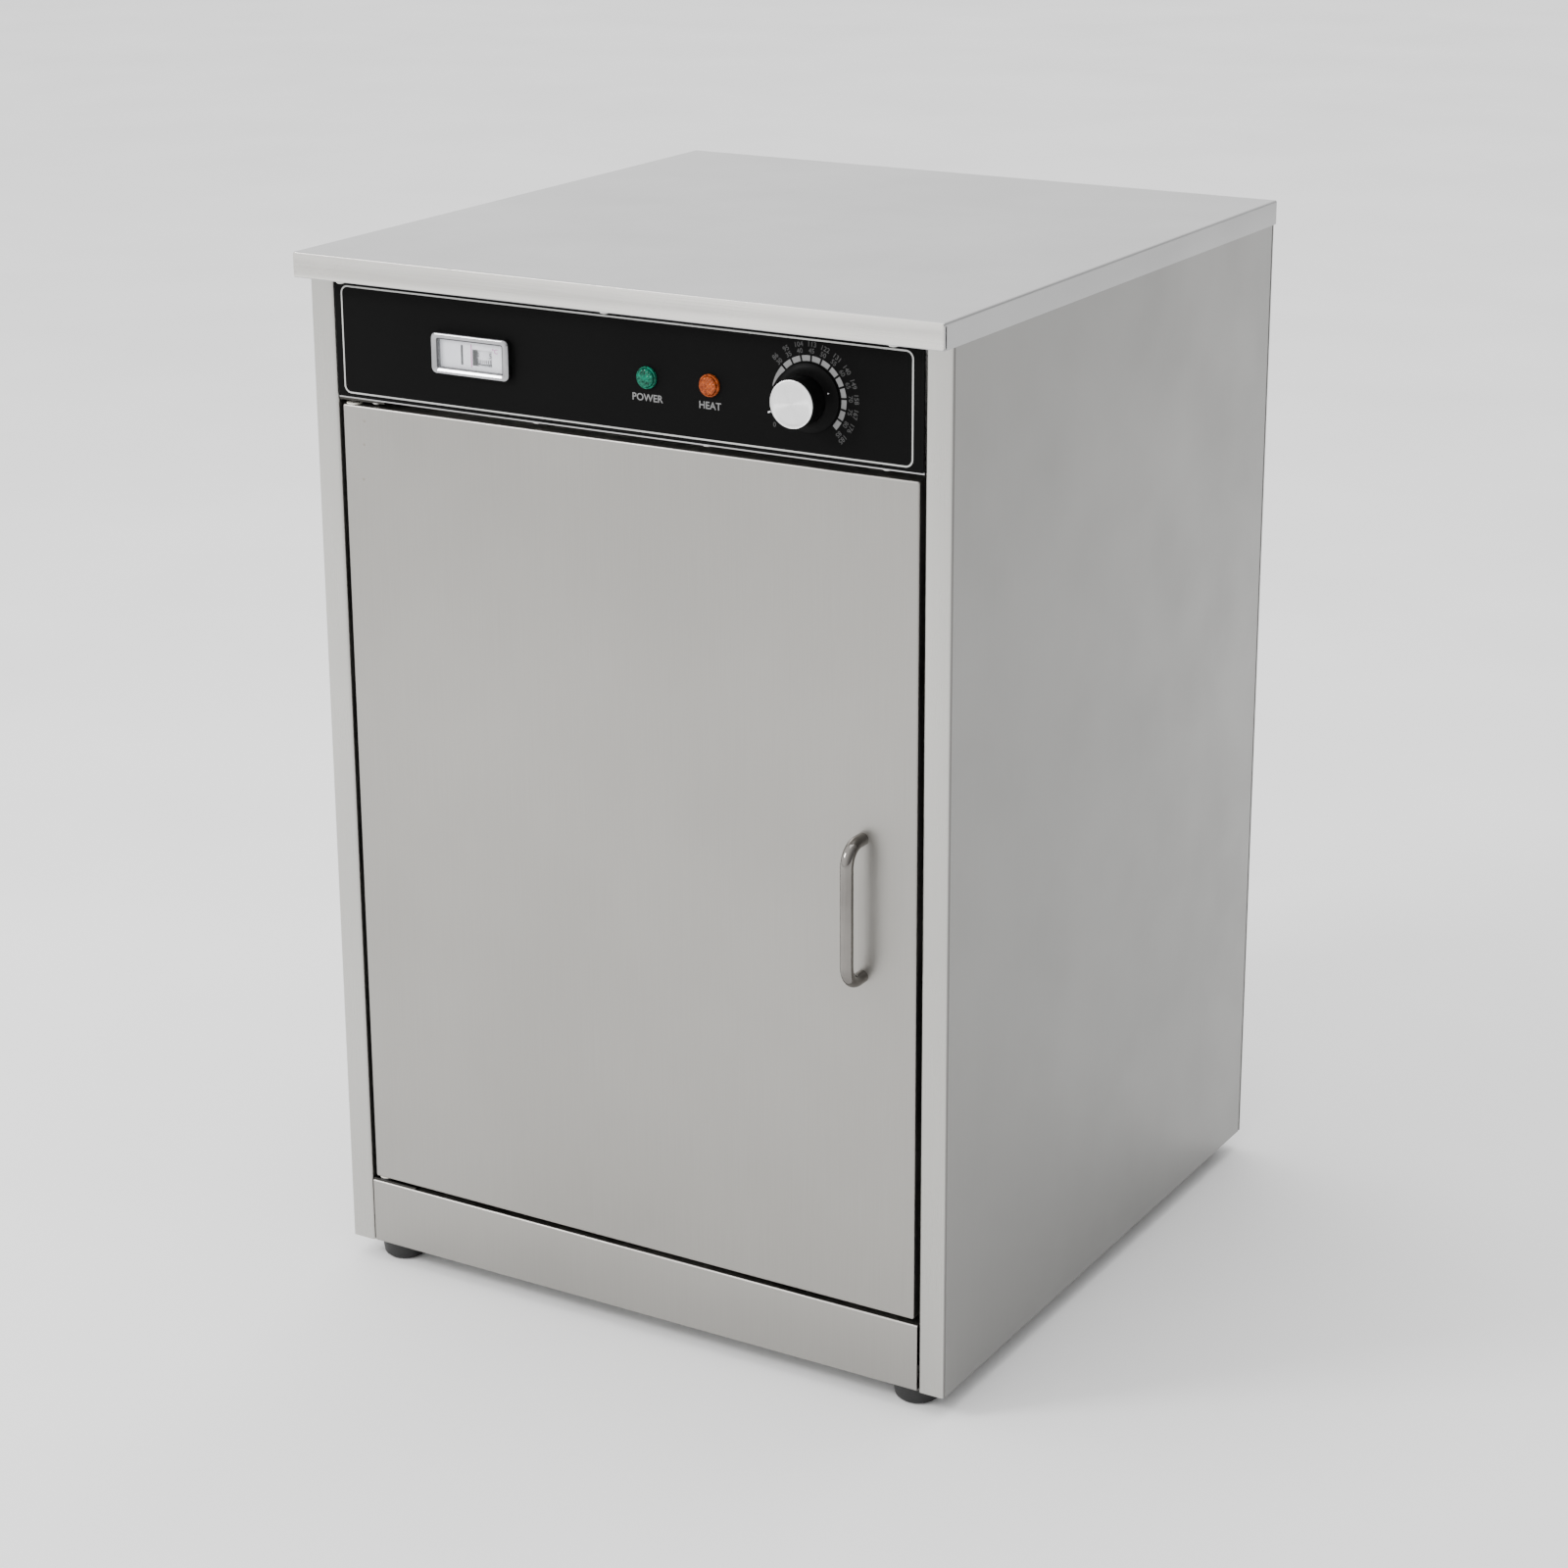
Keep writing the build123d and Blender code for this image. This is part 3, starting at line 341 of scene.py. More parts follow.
def turnedFinish(name, centre, look):
    # lathe-turned aluminium: fine rings about the knob's axis give the fan-shaped highlight
    material, tree, shader = newMaterial(name,
                                         {"Metallic": 1.0, "Anisotropic": look["anisotropy"],
                                          "Roughness": look["rough"]})
    place = addNode(tree, "ShaderNodeTexCoord")
    arm = addNode(tree, "ShaderNodeVectorMath", {"operation": "SUBTRACT", 1: tuple(centre)},
                  {0: place.outputs["Object"]})
    flat = addNode(tree, "ShaderNodeVectorMath", {"operation": "MULTIPLY", 1: (1, 0, 1)},
                   {0: arm.outputs[0]})
    around = addNode(tree, "ShaderNodeVectorMath", {"operation": "CROSS_PRODUCT", 1: (0, 1, 0)},
                     {0: flat.outputs[0]})
    tangent = addNode(tree, "ShaderNodeVectorMath", {"operation": "NORMALIZE"}, {0: around.outputs[0]})
    tree.links.new(tangent.outputs[0], shader.inputs["Tangent"])
    radius = addNode(tree, "ShaderNodeVectorMath", {"operation": "LENGTH"}, {0: flat.outputs[0]})
    rings = addNode(tree, "ShaderNodeTexNoise",
                    {"noise_dimensions": "1D", "Scale": 1 / look["pitch"], "Detail": 2.0},
                    {"W": radius.outputs["Value"]})
    toneBetween(tree, shader, rings, look["dark"], look["light"])
    bump = addNode(tree, "ShaderNodeBump", {"Strength": look["bump"], "Distance": 0.02 * mm},
                   {"Height": rings.outputs[0]})
    tree.links.new(bump.outputs[0], shader.inputs["Normal"])
    return material


knobLow, knobHigh = span("knob_cap")
knobCentre = (knobLow + knobHigh) / 2

sheetLook = {"grain": "Z", "grainLength": 60 * mm, "grainWidth": 0.35 * mm, "blotch": 230 * mm,
             "blotchShare": 0.9, "streak": 0.12, "dark": "94928E", "light": "A09E9A", "rough": 0.34,
             "bump": 0.06}
# door and plinth: warm grey satin with fine upright lines
# real belt grain is finer than this and is drawn coarser so that it shows
stainlessDoor = steelFinish("brushedStainlessDoor", sheetLook)
# side panels: cooler, and a little darker by painted shade, so the two visible walls read apart
sideShadeStainless = steelFinish("brushedStainlessSide",
                            {**sheetLook, "dark": "868684", "light": "8F8E8C", "bump": 0.04})
# front posts: smoother strips made brighter by painted light, so they frame the dark panel and the door
postLitStainless = steelFinish("brushedStainlessPost",
                            {**sheetLook, "dark": "ABAAA6", "light": "B7B6B2", "rough": 0.28})
# outer bend: stretched, smoother steel, with painted shade that gives a thin darker edge line
bendShadeSteel = steelFinish("stretchedBendSteel",
                        {**sheetLook, "dark": "686765", "light": "737270", "rough": 0.12})
# worktop: even pale grey with the grain running left to right
stainlessTop = steelFinish("brushedStainlessTop",
                           {**sheetLook, "grain": "X", "grainLength": 90 * mm, "dark": "A8A8A8",
                            "light": "B2B2B2", "bump": 0.05, "rough": 0.38})
# chamber and door liner: soft satin that picks up broad reflections
stainlessLiner = steelFinish("satinStainlessLiner",
                             {**sheetLook, "grain": "Y", "dark": "9C9B98", "light": "B0AFAC", "rough": 0.3})
# rear panel and base: the same sheet with a wider change of tone
stainlessRear = steelFinish("brushedStainlessRear", {**sheetLook, "dark": "A0A09E", "light": "B0B0AE"})
# spot welds: faintly browned dots, barely darker than the door
weldTint = steelFinish("heatTintedWeldSpot",
                       {**sheetLook, "dark": "8A8680", "light": "949089", "rough": 0.4})
# handle: dark, nearly mirror-bright rod with crisp reflections
polishedSteel = steelFinish("polishedHandleSteel",
                            {**sheetLook, "grainWidth": 0.5 * mm, "grainLength": 30 * mm, "blotch": 30 * mm,
                             "dark": "6A6764", "light": "827F7B", "rough": 0.08, "bump": 0.02})
# screws: small bright points
screwSteel = steelFinish("nickelPlatedScrewSteel",
                         {**sheetLook, "grainWidth": 0.6 * mm, "grainLength": 2 * mm, "blotch": 6 * mm,
                          "dark": "B4B3B0", "light": "CFCECB", "rough": 0.2, "bump": 0.02})
# hinge brackets: near black by painted shade, so that they sink into the shaded door gap
bracketShadeSteel = steelFinish("blackenedBracketSteel",
                           {**sheetLook, "grainWidth": 1 * mm, "grainLength": 6 * mm, "blotch": 20 * mm,
                            "dark": "343331", "light": "42413E", "rough": 0.4, "bump": 0.05})
# shelves: bright round wires with thin highlights
shelfWire = steelFinish("chromePlatedWire",
                        {**sheetLook, "grainWidth": 0.8 * mm, "grainLength": 12 * mm, "blotch": 40 * mm,
                         "dark": "A8A8A6", "light": "C8C8C6", "rough": 0.16, "bump": 0.02})
# heating element: scorched brown-grey
elementSheath = steelFinish("heatDarkenedSheath",
                            {**sheetLook, "grainWidth": 1 * mm, "grainLength": 8 * mm, "blotch": 25 * mm,
                             "dark": "4A423A", "light": "6E655C", "rough": 0.42, "bump": 0.1})
# sensing bulbs: reddish metal among the greys
copperTube = steelFinish("drawnCopper",
                         {**sheetLook, "grain": "Y", "grainWidth": 0.5 * mm, "grainLength": 20 * mm,
                          "blotch": 20 * mm, "dark": "9A5A3C", "light": "C07C58", "rough": 0.28,
                          "bump": 0.05})
# knob cap: pale disc whose turning rings spread the highlight into a fan
spunAluminium = turnedFinish("spunAluminium", knobCentre,
                             {"anisotropy": 0.95, "rough": 0.26, "pitch": 0.25 * mm, "dark": "D2D2D2",
                              "light": "F0F0F0", "bump": 0.12})
# thermometer frame: bright moulding with darker reflections along its slopes
chromedAbs = mouldedFinish("vacuumMetallisedAbs",
                           {"grit": 0.6 * mm, "blotch": 12 * mm, "dark": "97979A", "light": "AAAAAC",
                            "rough": 0.06, "bump": 0.02, "values": {"Metallic": 1.0}})
# inner step of the thermometer frame: painted shade, a dark line about the window
recessShade = mouldedFinish("darkMouldedRecess",
                            {"grit": 0.5 * mm, "blotch": 12 * mm, "dark": "26262A", "light": "303034",
                             "rough": 0.3, "bump": 0.02})
# panel overlay: deep black that reflects almost nothing
satinBlack = mouldedFinish("satinBlackPolycarbonate",
                           {"grit": 0.35 * mm, "blotch": 120 * mm, "dark": "040404", "light": "060606",
                            "rough": 0.6, "bump": 0.06, "values": {"Specular IOR Level": 0.06}})
# gland, lamp barrels and hidden mouldings: black with a dull sheen
blackNylon = mouldedFinish("blackGlassNylon",
                           {"grit": 0.5 * mm, "blotch": 20 * mm, "dark": "0B0B0B", "light": "141414",
                            "rough": 0.45, "bump": 0.10})
# knob body: black, with only a soft light along the skirt
knobPhenolic = mouldedFinish("blackPhenolicKnob",
                             {"grit": 0.5 * mm, "blotch": 15 * mm, "dark": "040404", "light": "070707",
                              "rough": 0.45, "bump": 0.04, "values": {"Specular IOR Level": 0.06}})
# feet: matt dark grey with a coarse skin
footRubber = mouldedFinish("mouldedFootRubber",
                           {"grit": 0.7 * mm, "blotch": 12 * mm, "dark": "121212", "light": "1C1C1C",
                            "rough": 0.6, "bump": 0.2})
# door seal: dark grey line about the liner
sealRubber = mouldedFinish("siliconeSealGrey",
                           {"grit": 0.8 * mm, "blotch": 30 * mm, "dark": "34342F", "light": "42423C",
                            "rough": 0.55, "bump": 0.12})
# nuts, bushes and clips: milky white
naturalNylon = mouldedFinish("naturalNylon",
                             {"grit": 0.5 * mm, "blotch": 8 * mm, "dark": "D8D4C8", "light": "E8E5DA",
                              "rough": 0.4, "bump": 0.05})
# insulation: yellowish fibrous slab, hidden once the cabinet is closed up
mineralWool = mouldedFinish("mineralWool",
                            {"grit": 1.5 * mm, "blotch": 15 * mm, "dark": "9A8A5C", "light": "B8A878",
                             "rough": 0.9, "bump": 0.8})
# thermometer face and drum: cool white card
scaleWhite = mouldedFinish("printedScaleWhite",
                           {"grit": 0.5 * mm, "blotch": 10 * mm, "dark": "D9DAE0", "light": "E6E6EB",
                            "rough": 0.35, "bump": 0.02})
# border line: light silver on black
printSilver = mouldedFinish("silverScreenInk",
                            {"grit": 0.4 * mm, "blotch": 40 * mm, "dark": "A6A6A4", "light": "BABAB8",
                             "rough": 0.45, "bump": 0.04})
# captions and dial segments: mid grey ink
printGrey = mouldedFinish("greyScreenInk",
                          {"grit": 0.4 * mm, "blotch": 20 * mm, "dark": "6C6C6C", "light": "787878",
                           "rough": 0.5, "bump": 0.04})
# dial figures: dark grey ink that barely stands out from the black
printDim = mouldedFinish("dimScreenInk",
                         {"grit": 0.4 * mm, "blotch": 20 * mm, "dark": "262626", "light": "2E2E2E",
                          "rough": 0.5, "bump": 0.04})
# pointer dot and zero mark: small white spots
printWhite = mouldedFinish("whiteScreenInk",
                           {"grit": 0.4 * mm, "blotch": 20 * mm, "dark": "D8D8D8", "light": "EEEEEE",
                            "rough": 0.45, "bump": 0.03})
# pointer bar and drum figures: black ink
printBlack = mouldedFinish("blackScaleInk",
                           {"grit": 0.4 * mm, "blotch": 5 * mm, "dark": "0C0C0E", "light": "161618",
                            "rough": 0.5, "bump": 0.02})
# index line and unit: pink ink
printPink = mouldedFinish("pinkScaleInk",
                          {"grit": 0.4 * mm, "blotch": 5 * mm, "dark": "B0509A", "light": "C068AA",
                           "rough": 0.5, "bump": 0.02})
# drum ticks: grey ink
scaleGrey = mouldedFinish("greyScaleInk",
                          {"grit": 0.4 * mm, "blotch": 5 * mm, "dark": "6C6C70", "light": "7A7A7E",
                           "rough": 0.5, "bump": 0.02})


def lensFinish(name, dark, light, glow):
    # dyed polycarbonate lens: clear gloss over a faceted, faintly lit colour
    material, tree, shader = newMaterial(name,
                                         {"Roughness": 0.22, "Specular IOR Level": 0.14,
                                          "Coat Weight": 0.06, "Coat Roughness": 0.05,
                                          "Emission Color": hexColour(light), "Emission Strength": glow})
    toneBetween(tree, shader, cloud(tree, 2.2 * mm, 2.0), dark, light)
    return material


# power lamp: deep sea green, lighter in patches
greenLens = lensFinish("greenPolycarbonate", "002C21", "0A765C", 0.03)
# heat lamp: burnt orange
amberLens = lensFinish("amberPolycarbonate", "5E2106", "AC5220", 0.03)
# thermometer window: clear sheet that shows only as a faint gloss
clearLens, clearTree, clearShader = newMaterial("clearAcrylicWindow",
                                                {"Base Color": hexColour("E8ECF0"), "IOR": 1.49,
                                                 "Roughness": 0.03, "Alpha": 0.06})
clearBlotch = cloud(clearTree, 12 * mm)
clearMist = addNode(clearTree, "ShaderNodeMapRange", {1: 0.3, 2: 0.7, 3: 0.02, 4: 0.06},
                    {0: clearBlotch.outputs[0]})
clearTree.links.new(clearMist.outputs[0], clearShader.inputs["Roughness"])
# CAD nodes whose shape is right keep it and take a finish
keptNodes = (
    (stainlessRear, ("rear_panel", "base_pan")),
    (stainlessTop, ("control_fascia",)),
    (stainlessLiner, ("control_tray", "door_frame", "chamber_side_walls", "chamber_wall_rear",
                      "chamber_floor", "chamber_ceiling", "shelf_ledges")),
    (mineralWool, ("door_insulation", "insulation_sides", "insulation_rear", "insulation_roof")),
    (screwSteel, ("catch_striker", "handle_screws", "door_edge_screws", "thermometer_spindle",
                  "foot_screws", "element_nuts", "thermostat_screws", "thermostat_shaft")),
    (naturalNylon, ("hinge_bushes", "thermometer_housing", "pilot_nuts", "bulb_clips",
                    "terminal_block")),
    (scaleWhite, ("thermometer_face", "thermometer_drum")),
    (clearLens, ("thermometer_lens",)),
    # the hinge washer is black as painted shade, so that it sinks into the door gap
    (blackNylon, ("pilot_barrels", "thermostat", "cable_gland", "gland_locknut", "hinge_washer",
                  "catch_magnet")),
    (elementSheath, ("heating_element",)),
    (copperTube, ("sensing_bulbs",)),
    (bracketShadeSteel, ("hinge_bracket_upper", "hinge_bracket_lower")),
    (shelfWire, ("wire_shelf_1", "wire_shelf_2", "wire_shelf_3")))
for material, keptNames in keptNodes:
    for keptName in keptNames:
        keptMesh = nodes[keptName].data
        keptMesh.materials.clear()
        keptMesh.materials.append(material)
print("materials made")


# body panels

bodyLow, bodyHigh = span("side_panel_right")
overlayLow, overlayHigh = span("fascia_overlay")
plinthLow, plinthHigh = span("plinth")
doorLow, doorHigh = span("door_skin")
topLow, topHigh = span("worktop")
frameLow = span("door_frame")[0]
frontY = bodyLow.y
baseZ = bodyLow.z

panelSheet = {"thickness": 1.0 * mm, "bend": 2.2 * mm, "rearFold": 14 * mm}


def sidePanel(name, node, side):
    # post return, post, outer bend, skin and rear fold in one bent sheet, with a bottom fold
    inner, outer = bodyLow.x, bodyHigh.x
    path = [(inner, frameLow.y + 12 * mm), (inner, frontY), (outer, frontY), (outer, bodyHigh.y),
            (outer - panelSheet["rearFold"], bodyHigh.y)]
    sheetPart = foldedSheet(path, panelSheet["bend"], panelSheet["thickness"], bodyLow.z, bodyHigh.z)
    bendEnd = frontY + panelSheet["bend"]
    fold = plainBlock((outer - panelSheet["rearFold"], frontY + 3 * mm, baseZ),
                      (outer - panelSheet["thickness"], bodyHigh.y - 2 * mm,
                       baseZ + panelSheet["thickness"]))
    vertices, faces = joined([sheetPart, fold])
    vertices = [(side * v[0], v[1], v[2]) for v in vertices]
    piece = meshPiece(name, vertices, faces, sideShadeStainless, "cabinet", 30)
    piece.data.materials.append(postLitStainless)
    piece.data.materials.append(bendShadeSteel)
    # one bent sheet in three colours: painted light on the post faces, painted shade on the outer bend and
    # on the side
    for face in piece.data.polygons:
        across, away = abs(face.center.x), face.center.y
        if across < outer - panelSheet["bend"] * 0.45 and away < bendEnd:
            face.material_index = 1
        elif away < bendEnd and across > outer - panelSheet["bend"] * 0.2:
            face.material_index = 2
    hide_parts(node)
    return piece


sidePanel("sidePanelRight", "side_panel_right", 1)
sidePanel("sidePanelLeft", "side_panel_left", -1)


# worktop: lid with rolled edges, ground corners, an open seam at each end of the nose, and a lip under it
worktopShape = {"sheet": 1.2 * mm, "edge": 1.6 * mm, "corner": 1.2 * mm, "seamWidth": 1.5 * mm,
                "seamDepth": 3.0 * mm, "seamSetback": 1.4 * mm}


def worktopLid():
    halfU, halfV = (topHigh.x - topLow.x) / 2, (topHigh.y - topLow.y) / 2
    centre = Vector((0, (topLow.y + topHigh.y) / 2, topHigh.z))
    depth, sheetT = topHigh.z - topLow.z, worktopShape["sheet"]
    outer = bendRings(halfU, halfV, worktopShape["corner"], 0, worktopShape["edge"],
                      5) + [(halfU, halfV, worktopShape["corner"], -depth)]
    inner = [(u - sheetT, v - sheetT, max(c - sheetT, 0.4 * mm), w) for u, v, c, w in outer[-1:]]
    inner += [(halfU - sheetT, halfV - sheetT, 1.4 * mm, -sheetT * 1.5),
              (halfU - 4 * mm, halfV - 4 * mm, 1 * mm, -sheetT)]
    return placed(loft(outer + inner, 6), centre, (1, 0, 0), (0, 1, 0), (0, 0, 1))


lipPart = plainBlock((topLow.x + 1.4 * mm, topLow.y + 1.0 * mm, topLow.z),
                     (topHigh.x - 1.4 * mm, frontY - 0.4 * mm, topLow.z + 1.2 * mm), 0.4 * mm)
worktop = meshPiece("worktopLid", *joined([worktopLid(), lipPart]), stainlessTop, "cabinet", 28)


def cutAway(piece, blocks, smooth):
    # take closed blocks out of a piece, leaving a plain mesh
    cutter = meshPiece("cutter", *joined(blocks), None, None, 30)
    cut = piece.modifiers.new("cut", "BOOLEAN")
    cut.object, cut.operation, cut.solver = cutter, "DIFFERENCE", "EXACT"
    old = piece.data
    piece.data = evaluatedMesh(piece, piece.name)
    piece.modifiers.remove(cut)
    bpy.data.meshes.remove(old)
    bpy.data.objects.remove(cutter)
    finishMesh(piece, smooth)


def seamSlots():
    # the side folds stop short of the front fold, which leaves a dark slot at each end of the nose
    setback, width, deep = worktopShape["seamSetback"], worktopShape["seamWidth"], worktopShape["seamDepth"]
    slots = []
    for side in (-1, 1):
        xs = sorted((side * (topHigh.x - deep), side * (topHigh.x + 2 * mm)))
        slots.append(plainBlock((xs[0], topLow.y + setback, topLow.z - 2 * mm),
                                (xs[1], topLow.y + setback + width, topHigh.z - 2.4 * mm), 0.02 * mm))
    return slots


cutAway(worktop, seamSlots(), 28)
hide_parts("worktop")

# nose plate: the front fold, made bright by a painted highlight, with rounded ends that stop short of the
# side folds
nosePlate = {"stand": 0.3 * mm, "inset": 0.3 * mm, "corner": 1.8 * mm, "edge": 0.3 * mm}


def nose():
    halfU = topHigh.x - nosePlate["inset"]
    halfV = (topHigh.z - topLow.z) / 2 - 0.4 * mm
    rings = bendRings(halfU, halfV, nosePlate["corner"], nosePlate["stand"], nosePlate["edge"], 2)
    rings.append((halfU, halfV, nosePlate["corner"], -0.4 * mm))
    return placed(loft(rings, 6), *facing((0, topLow.y, (topHigh.z + topLow.z) / 2)))


# front fold: the brightest steel by painted highlight, streaked from side to side
noseLitStainless = steelFinish("brushedStainlessNose",
                            {**sheetLook, "grain": "X", "grainLength": 140 * mm, "grainWidth": 0.6 * mm,
                             "streak": 0.5, "dark": "BDBBB6", "light": "DEDCD8", "rough": 0.26,
                             "bump": 0.15, "blotchShare": 0.5})
nosePiece = meshPiece("worktopNose", *nose(), noseLitStainless, "cabinet", 30)


# plinth: front sheet with a rolled top edge, and a toe folded under the body
def plinthSheet():
    path = [(frameLow.y + 11 * mm, plinthHigh.z), (plinthLow.y, plinthHigh.z), (plinthLow.y, plinthLow.z),
            (plinthLow.y + 13 * mm, plinthLow.z)]
    vertices, faces = foldedSheet(path, 1.5 * mm, 1.0 * mm, plinthLow.x, plinthHigh.x)
    return [(w, y, z) for y, z, w in vertices], faces


plinth = meshPiece("plinthSheet", *plinthSheet(), stainlessDoor, "cabinet", 30)
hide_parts("plinth")

print("body panels made")


# door

doorShape = {"sheet": 1.0 * mm, "edge": 1.4 * mm, "corner": 1.6 * mm, "depth": doorHigh.y - doorLow.y}
doorHalf = (doorHigh.x - doorLow.x) / 2
doorHalfZ = (doorHigh.z - doorLow.z) / 2
doorCentre = Vector(((doorLow.x + doorHigh.x) / 2, doorLow.y, (doorLow.z + doorHigh.z) / 2))


def doorPan():
    # outer pan: flat face, rolled edges, walls back to the liner, then the inner faces
    sheetT, deep = doorShape["sheet"], doorShape["depth"]
    rings = bendRings(doorHalf, doorHalfZ, doorShape["corner"], 0, doorShape["edge"], 5)
    rings.append((doorHalf, doorHalfZ, doorShape["corner"], -deep))
    rings.append((doorHalf - sheetT, doorHalfZ - sheetT, 0.8 * mm, -deep))
    rings.append((doorHalf - sheetT, doorHalfZ - sheetT, 0.8 * mm, -2 * sheetT))
    rings.append((doorHalf - 3 * mm, doorHalfZ - 3 * mm, 0.5 * mm, -sheetT))
    return placed(loft(rings, 5), *facing(doorCentre))


doorPanPiece = meshPiece("doorPan", *doorPan(), stainlessDoor, "door", 28)
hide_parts("door_skin")

linerLow, linerHigh = span("door_liner")
linerShape = {"land": 26 * mm, "press": 2.5 * mm, "slope": 6 * mm}


def linerPlate():
    # back of the door: flat land for the seal, with the middle pressed out towards the chamber
    back = linerHigh.y
    halfU, halfV = (linerHigh.x - linerLow.x) / 2 - 0.2 * mm, (linerHigh.z - linerLow.z) / 2 - 0.2 * mm
    land, press, slope = linerShape["land"], linerShape["press"], linerShape["slope"]
    rings = [(halfU, halfV, 1 * mm, -0.8 * mm), (halfU, halfV, 1 * mm, 0),
             (halfU - land, halfV - land, 12 * mm, 0),
             (halfU - land - 1.5 * mm, halfV - land - 1.5 * mm, 11 * mm, 0.3 * mm),
             (halfU - land - slope + 1.5 * mm, halfV - land - slope + 1.5 * mm, 8 * mm, press - 0.3 * mm),
             (halfU - land - slope, halfV - land - slope, 7 * mm, press)]
    return placed(loft(rings, 6), (doorCentre.x, back, doorCentre.z), (-1, 0, 0), (0, 0, 1), (0, 1, 0))


linerPiece = meshPiece("doorLinerPlate", *linerPlate(), stainlessLiner, "door", 9)
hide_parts("door_liner")

gasketLow, gasketHigh = span("door_gasket")
sealShape = {"corner": 6 * mm}


def gasketRing():
    # hollow bulb seal: flat foot on the liner, rounded face towards the frame
    halfU, halfV = (gasketHigh.x - gasketLow.x) / 2, (gasketHigh.z - gasketLow.z) / 2
    deep = gasketHigh.y - gasketLow.y
    section = [(0.8 * mm, 0), (0.3 * mm, 0.4), (0.9 * mm, 0.75), (2.6 * mm, 0.97), (5 * mm, 1.0),
               (7.4 * mm, 0.97), (9.1 * mm, 0.75), (9.7 * mm, 0.4), (9.2 * mm, 0)]
    rings = [(halfU - inset, halfV - inset, max(sealShape["corner"] - inset * 0.4, 1 * mm),
              share * deep) for inset, share in section]
    return placed(loft(rings, 6, closed=True),
                  (doorCentre.x, gasketLow.y, (gasketLow.z + gasketHigh.z) / 2), (-1, 0, 0), (0, 0, 1),
                  (0, 1, 0))


gasketPiece = meshPiece("doorSeal", *gasketRing(), sealRubber, "door", 50)
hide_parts("door_gasket")

handleLow, handleHigh = span("door_handle")
handleShape = {"radius": (handleHigh.x - handleLow.x) / 2, "bend": 14 * mm, "rim": 28}


def handleRod():
    # polished rod bent to a D, with its two ends on the door
    radius, bend = handleShape["radius"], handleShape["bend"]
    x = (handleLow.x + handleHigh.x) / 2
    low, high = handleLow.z + radius, handleHigh.z - radius
    grip = handleLow.y + radius
    path = roundCorners([(frontY + 0.2 * mm, low), (grip, low), (grip, high), (frontY + 0.2 * mm, high)],
                        bend, 14)
    vertices, faces = [], []
    count = handleShape["rim"]
    for i, point in enumerate(path):
        ahead = (path[min(i + 1, len(path) - 1)] - path[max(i - 1, 0)]).normalized()
        side = Vector((-ahead.y, ahead.x))
        for step in range(count):
            angle = 2 * math.pi * step / count
            offset = side * math.cos(angle) * radius
            vertices.append((x + math.sin(angle) * radius, point.x + offset.x, point.y + offset.y))
    for ring in range(len(path) - 1):
        for i in range(count):
            j = (i + 1) % count
            faces.append((ring * count + i, ring * count + j, (ring + 1) * count + j,
                          (ring + 1) * count + i))
    faces.append(tuple(range(count)))
    faces.append(tuple(range((len(path) - 1) * count, len(path) * count)))
    return vertices, faces


handlePiece = meshPiece("doorHandle", *handleRod(), polishedSteel, "door", 50)
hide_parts("door_handle")

print("door made")


# control panel

def looseBoxes(node):
    # low and high corner of each separate solid in a CAD node
    work = bmesh.new()
    work.from_mesh(nodes[node].data)
    bmesh.ops.remove_doubles(work, verts=work.verts, dist=1e-6)
    seen, boxes = set(), []
    for vertex in work.verts:
        if vertex in seen:
            continue
        stack, island = [vertex], []
        seen.add(vertex)
        while stack:
            current = stack.pop()
            island.append(nodes[node].matrix_world @ current.co)
            for edge in current.link_edges:
                other = edge.other_vert(current)
                if other not in seen:
                    seen.add(other)
                    stack.append(other)
        boxes.append((Vector([min(p[i] for p in island) for i in range(3)]),
                      Vector([max(p[i] for p in island) for i in range(3)])))
    work.free()
    return boxes


overlayShape = {"corner": 1.0 * mm, "edge": 0.3 * mm, "borderSpan": (-222.5 * mm, 220.5 * mm),
                "borderDrop": (5.3 * mm, 80.0 * mm), "borderWidth": 1.05 * mm, "borderCorner": 5.5 * mm,
                "ink": 0.06 * mm, "clearance": 0.3 * mm}
overlayHalf = (overlayHigh.x - overlayLow.x) / 2
overlayHalfZ = (overlayHigh.z - overlayLow.z) / 2
overlayCentre = Vector((0, frontY, (overlayLow.z + overlayHigh.z) / 2))


def overlayPlate():
    rings = bendRings(overlayHalf, overlayHalfZ, overlayShape["corner"], 0, overlayShape["edge"], 2)
    rings.append((overlayHalf, overlayHalfZ, overlayShape["corner"], -(overlayHigh.y - overlayLow.y)))
    return placed(loft(rings, 3), *facing(overlayCentre))


overlayPiece = meshPiece("fasciaOverlay", *overlayPlate(), satinBlack, "cabinet", 30)
overlayCuts = []
for opening in ("thermometer_housing", "pilot_barrels", "thermostat_shaft"):
    for low, high in looseBoxes(opening):
        room = Vector((overlayShape["clearance"], 0, overlayShape["clearance"]))
        overlayCuts.append(plainBlock((low.x - room.x, overlayLow.y - 2 * mm, low.z - room.z),
                                      (high.x + room.x, overlayHigh.y + 2 * mm, high.z + room.z),
                                      0.02 * mm))
cutAway(overlayPiece, overlayCuts, 4)
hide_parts("fascia_overlay")


def borderLine():
    (left, right), (drop, low) = overlayShape["borderSpan"], overlayShape["borderDrop"]
    width, ink, corner = overlayShape["borderWidth"], overlayShape["ink"], overlayShape["borderCorner"]
    u, v = (right - left) / 2, (low - drop) / 2
    middle = Vector(((left + right) / 2, frontY, overlayHigh.z - (drop + low) / 2))
    rings = [(u, v, corner, -ink), (u, v, corner, ink), (u - width, v - width, corner - width, ink),
             (u - width, v - width, corner - width, -ink)]
    return placed(loft(rings, 8, closed=True), *facing(middle))


meshPiece("fasciaBorder", *borderLine(), printSilver, "cabinet", 30)


